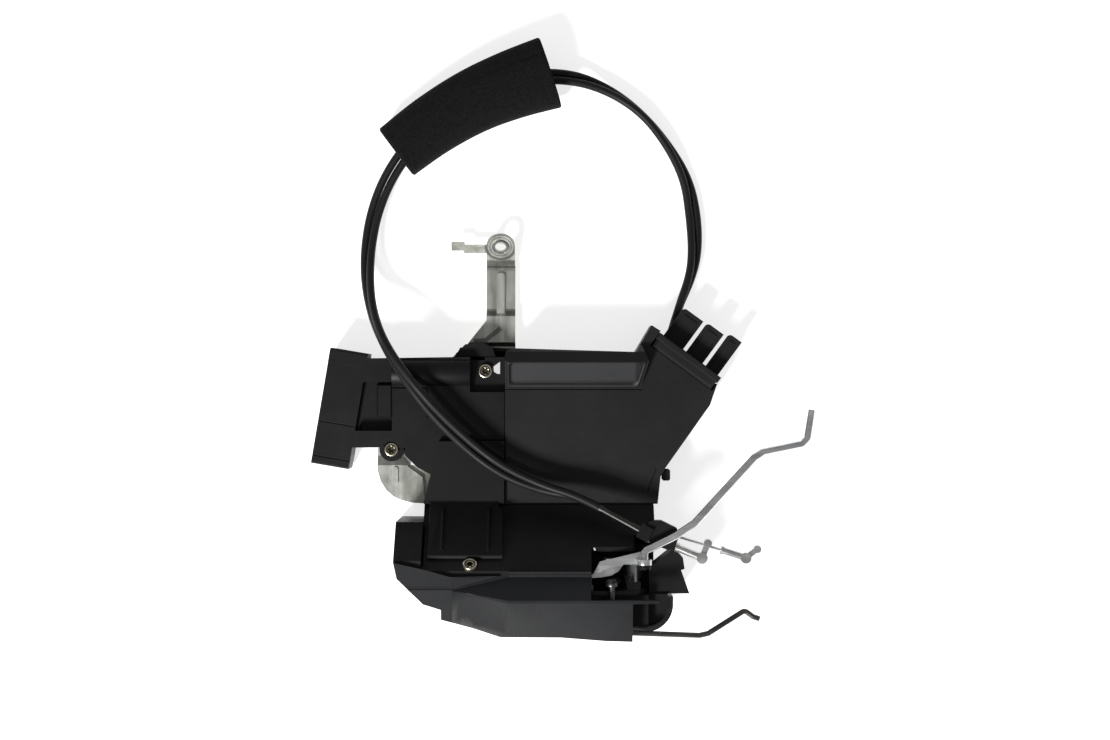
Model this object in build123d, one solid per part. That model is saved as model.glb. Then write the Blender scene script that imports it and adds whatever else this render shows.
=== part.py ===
from build123d import *
import os
from math import atan2, cos, degrees, hypot, radians, sin, tan

# Door latch actuator for a vehicle's front door, in millimetres.
# It lies on its back: +Z is the side that faces the door's inner panel, -Y is the
# shut face with the striker slot, and +X points up in the car.

# Datum: centre of the rigid parts' footprint, in the drawing's coordinates.
DATUM_X = -0.70
DATUM_Y = 3.69

# Levels
BRACKET_T = 2.0
TRAY_Z = BRACKET_T
TRAY_FLOOR = 2.4
BOSS_TOP = TRAY_Z + TRAY_FLOOR + 2.0
WALL = 2.0
PART_Z = 16.0
BLOCK_TOP = 30.0
COVER_TOP = 31.0
PANEL_TOP = 34.0
RIDGE_TOP = 40.0
LEG_TOP = 66.0
SHIELD_RISE = 4.0
SHIELD_TOP = LEG_TOP + SHIELD_RISE
FIT = 0.3
SLIDE = 0.05

# Plan outlines of the flat actuator module
MODULE = [
    (-109.5, 44.8), (-61.0, 45.5), (-58.0, 51.0), (-40.0, 51.0), (-32.4, 50.5),
    (40.1, 48.3), (49.0, 63.2), (53.4, 60.4), (55.8, 59.0), (87.2, 36.1),
    (82.5, 22.2), (81.4, 18.9), (56.5, -16.2), (53.9, -20.9), (52.3, -36.0),
    (-77.5, -36.0), (-73.6, -20.0), (-81.1, -15.9), (-88.5, -8.8),
    (-101.9, -4.8), (-117.4, -4.8),
]
SEAM_X = -32.6
SEAM_Y = -0.6
SEAM = 0.4

# Motor bulge and screws
MOTOR_Y = 36.7
BULGE_R = 8.3
BULGE_Z = 26.0
BULGE_X = (-95.3, -49.5)
SCREW_1 = (-43.5, 37.7)
SCREW_2 = (-96.1, -6.0)
SCREW_R = 2.0
SCREW_HEAD_R = 3.9
SCREW_HEAD_T = 2.4
CHUTE = [(-35.4, 43.4), (-39.6, 40.2), (-39.4, 37.4), (-37.6, 36.2), (-35.4, 36.0)]
CHUTE_WALL = 1.2

# Connector shroud, turned a little from the module's axes
SHROUD_AT = (-124.9, 16.9)
SHROUD_TURN = -9.65
SHROUD_L = 65.3
SHROUD_W = 21.3
SHROUD_Z = (2.0, 26.0)
SHROUD_WALL = 1.8
BAY_DEPTH = 17.0
BAY_SPLIT = -8.6
TERMINAL_L = 9.0

# Latch leg: everything in the shut face's stack is measured along Y
FACE_Y = -104.0
PLATE_T = 3.0
PLATE_TOP = 62.0
WING_DROP = 10.6
CASING_BACK_Y = -84.0
BACK_PLATE_T = 2.0
SLOPE_Y = -35.0
LEG_X = (-92.0, 50.0)
LEG_WALL = 2.5

# Fork (claw), pawl and striker slot, in the plane of the shut face
SLOT_X = 8.0
SLOT_W = 15.0
CLAW_X = -11.0
CLAW_Z = 29.0
CLAW_R = 22.5
CLAW_LOW_R = 17.0
CLAW_TURN = 65.0
CLAW_T = 8.0
MOUTH_W = 11.2
PAWL_X = 26.0
PAWL_Z = 45.0
PAWL_LIFT = 12.0
PIN_R = 5.0
PAWL_PIN_R = 4.0
POCKET_DEPTH = 8.6
SLOT_DEPTH = 15.0
MOUNT_HOLES = [(-27.0, 6.0), (34.0, 8.0), (-30.0, 50.0)]
MOUNT_R = 2.5
MOUNT_COLLAR_R = 4.5
MOUNT_COLLAR_H = 2.0

# Levers and rods
LEVER_X = 38.0
LEVER_Z = 38.0
LEVER_PIN_R = 3.0
ROD_R = 2.1
ROD_EYE = (43.6, 62.5)
KEY_X = PAWL_X
KEY_Z = PAWL_Z
KEY_LEVER_T = 2.0
KEY_HUB = 3.0
KEY_ROD_R = 1.5
KEY_EYE_Z = 62.3

# Cables
CABLE_D = 4.5
CABLE_SIDES = 12
WIRE_R = 0.75
FOAM_D = 29.5


# ---------------------------------------------------------------- helpers
def outline(points):
    return make_face(Polyline(*points, close=True))


def slab(points, z0, z1):
    """Upright prism over a plan outline."""
    return extrude(Pos(0, 0, z0) * outline(points), amount=z1 - z0, dir=(0, 0, 1))


def facing(y):
    """Plane of the shut face at y: local x is +X, local y is +Z, normal -Y."""
    return Plane(origin=(0, y, 0), x_dir=(1, 0, 0), z_dir=(0, -1, 0))


def along_y(sketch, y_front, y_back):
    """Prism of a shut-face sketch from its back plane to its front plane."""
    return extrude(facing(y_back) * sketch, amount=y_back - y_front)


def along_x(points, x0, x1):
    """Prism of a (y, z) profile between two stations along X."""
    plane = Plane(origin=(x0, 0, 0), x_dir=(0, 1, 0), z_dir=(1, 0, 0))
    return extrude(plane * outline(points), amount=x1 - x0)


def block(x0, x1, y0, y1, z0, z1):
    return Pos((x0 + x1) / 2, (y0 + y1) / 2, (z0 + z1) / 2) * Box(
        x1 - x0, y1 - y0, z1 - z0
    )


def rod_y(x, z, radius, y_front, y_back):
    """Round pin along Y."""
    return along_y(Pos(x, z) * Circle(radius), y_front, y_back)


def post(x, y, radius, z0, z1):
    return Pos(x, y, (z0 + z1) / 2) * Cylinder(radius, z1 - z0)


def inset(points, by):
    return offset(outline(points), amount=-by, kind=Kind.INTERSECTION)


def bend_radii(points):
    """Largest tangent arc that each corner of a route leaves room for."""
    radii = []
    for a, b, c in zip(points, points[1:], points[2:]):
        u = Vector(*b) - Vector(*a)
        v = Vector(*c) - Vector(*b)
        half = radians(u.get_angle(v)) / 2
        radii.append(0.45 * min(u.length, v.length) / tan(half))
    return radii


def tube_along(points, diameter):
    route = FilletPolyline(*points, radius=bend_radii(points))
    start = Plane(origin=route @ 0, z_dir=route % 0)
    return sweep(start * RegularPolygon(diameter / 2, CABLE_SIDES), path=route), route.length


def bent_rod(points, radius, bend):
    """Wire rod with one bend radius at each corner."""
    route = FilletPolyline(*points, radius=bend)
    start = Plane(origin=route @ 0, z_dir=route % 0)
    return sweep(start * Circle(radius), path=route)


def write(name, *solids):
    """One STEP file per sub-part, moved to the datum."""
    parts = []
    for shape in solids:
        parts.extend(shape.solids())
    placed = [Pos(-DATUM_X, -DATUM_Y, 0) * s for s in parts]
    shape = placed[0] if len(placed) == 1 else Compound(children=placed)
    os.makedirs("parts", exist_ok=True)
    export_step(shape, f"parts/{name}.step")
    return shape


INNER = inset(MODULE, WALL)


def chute(z0, z1):
    """Walled drain hole that passes the module beside the first screw."""
    around = offset(outline(CHUTE), amount=CHUTE_WALL, kind=Kind.INTERSECTION)
    return extrude(Pos(0, 0, z0) * around, amount=z1 - z0, dir=(0, 0, 1))


def hollow(z0, z1):
    """The cavity that tray and covers share."""
    return extrude(Pos(0, 0, z0) * INNER, amount=z1 - z0, dir=(0, 0, 1))


# ---------------------------------------------------------------- cable outlet
CAP_A = (55.8, 59.0)
CAP_B = (87.2, 36.1)
CAP_L = hypot(CAP_B[0] - CAP_A[0], CAP_B[1] - CAP_A[1])
CAP_DIR = ((CAP_B[0] - CAP_A[0]) / CAP_L, (CAP_B[1] - CAP_A[1]) / CAP_L, 0)
CAP_DEPTH = 10.0
CAP_OUT = -2.0
CAP_Z = (4.6, 33.0)
FINGERS = [(1.0, 14.4, 18.4), (16.6, 27.9, 19.2), (30.1, 38.6, 21.6)]
FINGER_Z = 20.0
FINGER_T = 2.5
GLAND_U = 6.0
GLAND_L = 4.0
GLAND_R = 2.45
CABLE_GAP = 2.5
GLAND_Z = 10.5
GLAND_DIR = Vector(sin(radians(15.0)), cos(radians(15.0)), 0)


def cap_frame(z=0.0):
    return Plane(origin=(CAP_A[0], CAP_A[1], z), x_dir=CAP_DIR, z_dir=(0, 0, 1))


def cap_box(u0, u1, w0, w1, z0, z1):
    face = Pos((u0 + u1) / 2, (w0 + w1) / 2) * Rectangle(u1 - u0, w1 - w0)
    return extrude(cap_frame(z0) * face, amount=z1 - z0)


def cap_room():
    g = FIT
    return cap_box(-1.8 - g, CAP_L + 1.4 + g, -CAP_DEPTH - g, CAP_OUT + 5, CAP_Z[0] - 0.2, 60)


def cable_outlet_cap():
    low, high = CAP_Z
    body = cap_box(-1, CAP_L + 0.6, -CAP_DEPTH, CAP_OUT, low, high)
    rear = body.edges().group_by(Axis.Z)[-1]
    body = chamfer(rear, 1.6)
    lip = cap_box(-1.8, CAP_L + 1.4, CAP_OUT - 3.2, CAP_OUT + 0.4, high - 9.0, high + 1.2)
    body += chamfer(lip.edges().group_by(Axis.Z)[-1], 0.7)
    for u0, u1, reach in FINGERS:
        finger = cap_box(u0, u1, CAP_OUT - 1, reach, FINGER_Z, FINGER_Z + FINGER_T)
        tips = finger.edges().filter_by(Axis.Z).sort_by(lambda e: -e.center().Y)[:1]
        finger = fillet(tips, 2.2)
        bead = cap_box(u0 + 2.4, u1 - 2.4, CAP_OUT - 1, reach - 3,
                       FINGER_Z + FINGER_T - 0.1, FINGER_Z + FINGER_T + 0.6)
        body += [finger, bead]
    for side in (-1, 1):
        root = gland_root(side) - GLAND_DIR * 3
        body += extrude(Plane(origin=root, z_dir=GLAND_DIR) * Circle(GLAND_R), amount=3 + GLAND_L)
    return body


def gland_root(side):
    """Where one cable's stub leaves the cap's outer face."""
    return cap_frame().from_local_coords((GLAND_U, CAP_OUT, GLAND_Z + side * CABLE_GAP))


# ---------------------------------------------------------------- module
def back_housing():
    tray = slab(MODULE, TRAY_Z, PART_Z) - hollow(TRAY_Z + TRAY_FLOOR, PART_Z + 1)
    tray += post(*SCREW_2, 6.8, TRAY_Z, PART_Z)
    tray += post(*SCREW_1, 5.0, TRAY_Z, PART_Z)
    for x, y in ((WHEEL_AT[0], WHEEL_AT[1]), LOCK_AT, INSIDE_AT):
        tray += post(x, y, PIVOT_R + 3.0, TRAY_Z, BOSS_TOP)
        tray -= post(x, y, PIVOT_R + SLIDE, TRAY_Z + 1.0, PART_Z)
    for x, y in (SCREW_1, SCREW_2):
        tray -= post(x, y, SCREW_R + SLIDE, TRAY_Z - 1, PART_Z + 1)
    for y in (-23.0, -11.0, 1.0):
        tray += block(-6, 36, y - 0.8, y + 0.8, TRAY_Z + TRAY_FLOOR, 9.0)
    for x in (MOTOR_X[0] + 4.0, MOTOR_X[1] - 4.0):
        tray += block(x - 0.8, x + 0.8, MOTOR_Y - 5.0, MOTOR_Y + 5.0, TRAY_Z + TRAY_FLOOR,
                      WORM_Z - MOTOR_R - FIT)
    ear = slab([(-61.0, 43.6), (-60.0, 47.6), (-54.4, 52.6), (-49.0, 54.4), (-44.4, 53.4),
                (-40.0, 51.0), (-37.0, 43.6)], PART_Z, 24.0)
    ear -= slab([(-70.0, 43.0), (-30.0, 43.0), (-30.0, 45.9), (-70.0, 45.9)], 15.0, 25.0)
    tray += ear
    tray += chute(TRAY_Z, PART_Z)
    tray -= slab(CHUTE, TRAY_Z - 1, 60)
    return tray - cap_room()


SHROUD = Pos(SHROUD_AT[0], SHROUD_AT[1], 0) * Rot(0, 0, SHROUD_TURN)


def shroud_box(x0, x1, y0, y1, z0, z1):
    return SHROUD * block(x0, x1, y0, y1, z0, z1)


def connector_housing():
    left = [
        (-109.5, 44.8), (-61.0, 45.5), (SEAM_X - SEAM / 2, 45.5),
        (SEAM_X - SEAM / 2, SEAM_Y + SEAM / 2), (-68.9, SEAM_Y + SEAM / 2),
        (-73.8, -19.8), (-81.1, -15.9), (-88.5, -8.8), (-101.9, -4.8), (-117.4, -4.8),
    ]
    body = slab(left, PART_Z, BLOCK_TOP) - hollow(PART_Z - 1, BLOCK_TOP - WALL)
    barrel = Pos(0, MOTOR_Y, BULGE_Z) * Rot(0, 90, 0)
    length = BULGE_X[1] - BULGE_X[0]
    middle = (BULGE_X[0] + BULGE_X[1]) / 2
    body += Pos(middle, 0, 0) * barrel * Cylinder(BULGE_R, length)
    body -= Pos(middle, 0, 0) * barrel * Cylinder(BULGE_R - WALL, length - 2 * WALL)
    body -= hollow(0, BLOCK_TOP - WALL) & block(-94, -51, 20, 44, 10, BLOCK_TOP - WALL)
    body -= hollow(0, WELL_Z[0]) & block(-52, BULGE_X[1] + 1, 20, 44, 10, WELL_Z[0])
    # screw well at the upper right corner
    x0, x1, y0, y1 = -51.9, SEAM_X, 26.0, 46.0
    body += block(x0 - WALL, SEAM_X - SEAM / 2, y0 - WALL, 45.5, *WELL_Z)
    body += block(x0 - WALL, SEAM_X - SEAM / 2, y0 - WALL, 45.5, WELL_Z[1], BLOCK_TOP)
    body -= block(x0, x1 + 1, y0, y1, WELL_Z[1], BLOCK_TOP + 6)
    body += chute(PART_Z, WELL_Z[1]) & block(x0, SEAM_X - SEAM / 2, y0, 45.5, 0, 60)
    body -= slab(CHUTE, 0, 60)
    body -= post(*SCREW_1, SCREW_R + SLIDE, 0, 40)
    body -= block(x0, x0 + 8.0, 43.8, 46.0, 10, 40)
    # sunken field beside the connector, with its latch box
    body += block(-113.0, -95.3, 2.5, 33.6, 18.0, BLOCK_TOP) & slab(left, 18.0, BLOCK_TOP)
    body -= block(-120.0, -95.3, 4.5, 31.6, 22.0, BLOCK_TOP + 6)
    latch = block(-104.1, -95.3, 11.6, 30.6, 21.0, 27.0)
    body += chamfer(latch.edges().group_by(Axis.Z)[-1], 1.0)
    # screw ear
    body += post(*SCREW_2, 6.8, PART_Z, 22.0)
    body -= post(*SCREW_2, 12.0, 22.0, 40) & block(-110, -88, -20, -4.8, 20, 40)
    body -= post(*SCREW_2, SCREW_R + SLIDE, 0, 40)
    body -= post(*SCREW_2, SCREW_HEAD_R + 0.6, 22.0, 40)
    # rim of the raised panel
    panel = block(-95.3, -75.3, 11.4, 28.6, BLOCK_TOP - 0.2, BLOCK_TOP + 0.8)
    body += chamfer(panel.edges().group_by(Axis.Z)[-1], 0.6)
    body -= slab(left, 0, PART_Z)
    # shroud with two bays that open away from the module
    hw, hl = SHROUD_W / 2, SHROUD_L / 2
    z0, z1 = SHROUD_Z
    shroud = shroud_box(-hw, hw, -hl, hl, z0, z1)
    shroud = chamfer(shroud.edges().filter_by(Axis.X, tolerance=15), 1.0)
    w = SHROUD_WALL
    shroud -= shroud_box(-hw - 1, -hw + BAY_DEPTH, BAY_SPLIT + w / 2, hl - w, z0 + w, z1 - w)
    shroud -= shroud_box(-hw - 1, -hw + BAY_DEPTH, -hl + w, BAY_SPLIT - w / 2, z0 + w, z1 - w)
    # grooves that mark the two plugs and the rim
    for y in (BAY_SPLIT, -hl + 4.6):
        shroud -= shroud_box(-hw - 1, hw + 1, y - 0.4, y + 0.4, z1 - 0.6, z1 + 1)
    shroud += shroud_box(-hw, hw, hl - 8.0, hl - 1.2, z1 - 0.5, z1 + 0.6)
    body += shroud - (slab(left, PART_Z, 60)) - (slab(MODULE, 0, PART_Z))
    return body


def connector_terminals():
    pins = []
    root = -SHROUD_W / 2 + BAY_DEPTH
    main = [BAY_SPLIT + SHROUD_WALL / 2 + 4.0 + 4.6 * i for i in range(7)]
    small = [-SHROUD_L / 2 + SHROUD_WALL + 4.5 + 5.0 * i for i in range(3)]
    for y in main + small:
        for z in (10.0, 18.0):
            pin = shroud_box(root - TERMINAL_L, root, y - 0.8, y + 0.8, z - 0.4, z + 0.4)
            pins.append(pin)
    return pins


def main_cover():
    edge = SEAM_X + SEAM / 2
    plan = [(edge, 46.4), (edge + 1.0, 49.0), (edge + 3.6, 50.4)] + MODULE[5:14]
    plan += [(52.3, -36.0), (edge, -36.0)]
    body = slab(plan, PART_Z, COVER_TOP) - hollow(PART_Z - 1, COVER_TOP - WALL)
    ridge = along_x(
        [(52.0, PART_Z), (52.0, 33.0), (48.5, 37.4), (43.2, RIDGE_TOP), (28.2, COVER_TOP),
         (28.2, PART_Z)], edge, 48.0)
    miter = slab([(40.4, 20.0), (47.2, 43.2), (40.1, 60.0), (-60.0, 60.0), (-60.0, 20.0)],
                 0, 60)
    cave = along_x(
        [(48.2, 0), (48.2, 32.0), (43.2, RIDGE_TOP - 2.4), (30.6, COVER_TOP - WALL),
         (30.6, 0)], edge + WALL, 38.0)
    body += (ridge & miter) & slab(plan, PART_Z, 60)
    body -= cave
    # rim that follows the slanted shoulder up to the cable outlet
    ux, uy = 8.9, 14.9
    long = hypot(ux, uy)
    lane = Plane(origin=(40.1, 48.3, 0), x_dir=(ux / long, uy / long, 0), z_dir=(0, 0, 1))
    rim = Plane(origin=lane.from_local_coords((-9.0, 0, 0)), x_dir=(-lane.y_dir),
                z_dir=lane.x_dir)
    profile = outline([(0, PART_Z), (0, 33.0), (2.5, 37.0), (7.0, RIDGE_TOP - 0.6),
                       (19.0, COVER_TOP - 0.5), (19.0, PART_Z)])
    shoulder = extrude(rim * profile, amount=long + 14.0)
    body += shoulder & slab(plan, COVER_TOP - WALL, 60)
    # groove at the foot of the ridge and the crease near the lower right corner
    body -= block(edge, 44.0, 27.2, 28.1, COVER_TOP - 0.7, COVER_TOP + 1)
    crease = Plane(origin=(51.8, -16.0, COVER_TOP), x_dir=(-0.37, -0.93, 0), z_dir=(0, 0, 1))
    body -= extrude(crease * (Pos(7, 0) * Rectangle(14, 0.7)), amount=1, both=True)
    tab = block(55.0, 59.6, -23.5, -17.0, 18.0, 24.0)
    body += chamfer(tab.edges().filter_by(Axis.Z), 0.8) - hollow(0, 60)
    return body - cap_room()


def linkage_cover():
    edge = SEAM_X - SEAM / 2
    top = SEAM_Y - SEAM / 2
    plan = [(edge, top), (-69.3, top), (-77.5, -36.0), (edge, -36.0)]
    body = slab(plan, PART_Z, PANEL_TOP) - hollow(PART_Z - 1, PANEL_TOP - 2.5)
    body -= slab([(-90, -5), (-90, -40), (-74.4, -20.0), (-69.0, 2.0)], 0, 15)
    lift = 2.5 * 1.4142
    skin = [
        (SLOPE_Y - 1.0, COVER_TOP + 1.0), (SLOPE_Y + 0.5, PANEL_TOP),
        (-62.0, 62.0 + SLOPE_Y + COVER_TOP + lift),
        (-64.0, 64.0 + SLOPE_Y + COVER_TOP + 0.8), (-64.0, 64.0 + SLOPE_Y + COVER_TOP),
    ]
    box = along_x(skin, -73.9, -33.0)
    trim = slab([(-73.9, -30.0), (-36.8, -30.0), (-36.8, -34.5), (-33.0, -40.5),
                 (-33.0, -70.0), (-73.9, -70.0)], 0, 90)
    body += box & trim
    for x in (-66.2, -40.9):
        rib = along_x(
            [(-38.6, 38.6 + SLOPE_Y + COVER_TOP + lift - 0.3),
             (-59.4, 59.4 + SLOPE_Y + COVER_TOP + lift - 0.3),
             (-59.0, 59.4 + SLOPE_Y + COVER_TOP + lift + 0.9),
             (-38.2, 38.6 + SLOPE_Y + COVER_TOP + lift + 0.9)], x - 0.6, x + 0.6)
        body += rib
    return body


# ---------------------------------------------------------------- drive inside
PIVOT_R = 3.0
WHEEL_AT = (-57.5, 19.3)
WHEEL_R = 14.0
WHEEL_TEETH = 28
WHEEL_Z = (12.0, 18.0)
WORM_R = 3.4
WORM_Z = 15.0
MOTOR_X = (-94.0, -67.5)
MOTOR_R = 9.4
MOTOR_FLAT = 12.0
LOCK_AT = (-27.0, 10.0)
INSIDE_AT = (20.0, 22.0)
CRANK_R = 9.0
CRANK_PIN_R = 2.0
LOCK_Z = (19.0, 21.5)
INSIDE_Z = 12.0
WELL_Z = (LOCK_Z[1] + 1.0, LOCK_Z[1] + 3.0)


def motor():
    barrel = Pos((MOTOR_X[0] + MOTOR_X[1]) / 2, MOTOR_Y, WORM_Z) * Rot(0, 90, 0)
    can = barrel * Cylinder(MOTOR_R, MOTOR_X[1] - MOTOR_X[0])
    can &= block(-120, 0, MOTOR_Y - MOTOR_FLAT / 2, MOTOR_Y + MOTOR_FLAT / 2, 0, 60)
    end = Pos(MOTOR_X[1] + 0.75, MOTOR_Y, WORM_Z) * Rot(0, 90, 0) * Cylinder(3.0, 1.5)
    return can + end


def worm_wheel():
    """Wheel with trapezoid teeth and a crank pin on its upper face."""
    module = 2 * WHEEL_R / WHEEL_TEETH
    tip, root = WHEEL_R + 0.35 * module, WHEEL_R - 0.9 * module
    step = 360 / WHEEL_TEETH
    sketch = Circle(root)
    tooth = outline([(root - 0.5, -1.05), (tip, -0.42), (tip, 0.42), (root - 0.5, 1.05)])
    sketch += [Rot(0, 0, (i + 0.5) * step) * tooth for i in range(WHEEL_TEETH)]
    low, high = WHEEL_Z
    wheel = extrude(sketch, amount=high - low)
    wheel -= Cylinder(PIVOT_R + SLIDE, 60)
    wheel -= [
        Rot(0, 0, 60 * i) * Pos(9.0, 0, high - low) * Cylinder(2.4, 3.0)
        for i in (1, 2, 4, 5)
    ]
    turn = degrees(atan2(LOCK_AT[1] - WHEEL_AT[1], LOCK_AT[0] - WHEEL_AT[0]))
    rise = LOCK_Z[1] + FIT - high
    crank = Rot(0, 0, turn) * Pos(CRANK_R, 0, high - low + rise / 2)
    crank *= Cylinder(CRANK_PIN_R, rise)
    drop = low - BOSS_TOP - FIT
    hub = Pos(0, 0, -drop / 2) * (Cylinder(5.4, drop) - Cylinder(PIVOT_R + SLIDE, 20))
    return Pos(WHEEL_AT[0], WHEEL_AT[1], low) * (wheel + crank + hub)


def motor_worm():
    """Worm on the motor shaft: a cylinder with one helical thread."""
    pitch = 2 * 3.14159265 * WHEEL_R / WHEEL_TEETH
    length = 11.0
    core = Cylinder(WORM_R - 1.0, length + 3.0)
    path = Helix(pitch, length - pitch, WORM_R - 1.1)
    path = Pos(0, 0, -(length - pitch) / 2) * path
    start = Plane(origin=path @ 0, x_dir=(1, 0, 0), z_dir=path % 0)
    section = start * outline([(0, -0.7), (1.55, -0.28), (1.55, 0.28), (0, 0.7)])
    thread = sweep(section, path=path, is_frenet=True)
    shaft = Pos(0, 0, -length / 2 - 2.2) * Cylinder(1.2, 1.6)
    worm = core + thread + shaft
    return Pos(WHEEL_AT[0], MOTOR_Y, WORM_Z) * Rot(0, 90, 0) * Rot(0, 0, 180) * worm


def pivots():
    """Steel pivots of wheel and levers, pressed into the tray."""
    pins = []
    for (x, y), top in ((WHEEL_AT, 18.6), (LOCK_AT, 22.4), (INSIDE_AT, 17.0)):
        pins.append(post(x, y, PIVOT_R, TRAY_Z + 1.0, top))
    return pins


def lock_lever():
    """Forked lever: the fork rides on the wheel's crank pin."""
    ax, ay = WHEEL_AT[0] - LOCK_AT[0], WHEEL_AT[1] - LOCK_AT[1]
    reach = hypot(ax, ay)
    turn = degrees(atan2(ay, ax))
    arm = Circle(6.0) + Pos(reach / 2 - 3.6, 0) * Rectangle(reach - 7.2, 8.0)
    tip = Pos(reach - CRANK_R + 0.5, 0) * Rectangle(15.0, 11.0)
    slot = Pos(reach - CRANK_R + 3.2, 0) * Rectangle(19.0, 2 * (CRANK_PIN_R + 1.3))
    tail = Rot(0, 0, 170) * (Pos(8.0, 0) * Rectangle(16.0, 6.0) + Pos(16.0, 0) * Circle(3.0))
    sketch = arm + tip - slot + tail - Circle(PIVOT_R + SLIDE)
    plate = extrude(sketch, amount=LOCK_Z[1] - LOCK_Z[0])
    drop = LOCK_Z[0] - BOSS_TOP - FIT
    hub = Pos(0, 0, -drop / 2) * (Cylinder(5.0, drop) - Cylinder(PIVOT_R + SLIDE, 30))
    return Pos(LOCK_AT[0], LOCK_AT[1], LOCK_Z[0]) * Rot(0, 0, turn) * (plate + hub)


def inside_lever():
    """Bell crank that the handle cable pulls."""
    sketch = Circle(6.5) + Rot(0, 0, 20) * (Pos(12, 0) * Rectangle(24, 8) + Pos(24, 0) * Circle(4))
    sketch += Rot(0, 0, -80) * (Pos(11, 0) * Rectangle(22, 7) + Pos(22, 0) * Circle(3.5))
    sketch -= Circle(PIVOT_R + SLIDE)
    sketch -= Rot(0, 0, 20) * Pos(24, 0) * Circle(1.6)
    sketch -= Rot(0, 0, -80) * Pos(22, 0) * Circle(1.5)
    plate = extrude(sketch, amount=2.5)
    drop = INSIDE_Z - BOSS_TOP - FIT
    hub = Pos(0, 0, -drop / 2) * (Cylinder(5.0, drop) - Cylinder(PIVOT_R + SLIDE, 30))
    return Pos(INSIDE_AT[0], INSIDE_AT[1], INSIDE_Z) * (plate + hub)


def contact_plate():
    """Stamped conductor tracks between connector and motor."""
    low = TRAY_Z + TRAY_FLOOR + FIT
    return block(-90, -40, 2.5, 4.5, low, 24.0) + block(-90, -78, 4.5, 24.0, low, low + 1.0)


def position_switch():
    """Two microswitches under the main cover."""
    out = []
    for x in (-6.0, 16.0):
        body = block(x, x + 13.0, -26.0, -20.0, 9.0 + FIT, 16.0)
        body = chamfer(body.edges().filter_by(Axis.Y), 0.5)
        body += block(x + 4.0, x + 6.0, -20.0, -18.8, 11.5, 13.5)
        out.append(body)
    return out


# ---------------------------------------------------------------- bracket
TAB_TILT = 35.0
TAB_AT = (-35.4, 107.3, 12.0)
TAB_R = 8.0
STRAP_X = (-43.4, -27.0)
STRAP_T = 2.5
M6_R = 3.35
FLARE_Z = 9.0
FLARE_Y = (51.6, 68.7)
STEP_Y = 71.6
STEP_DROP = 2.6
BEND_Y = 94.6
LOBE_Z = 4.4


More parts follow.
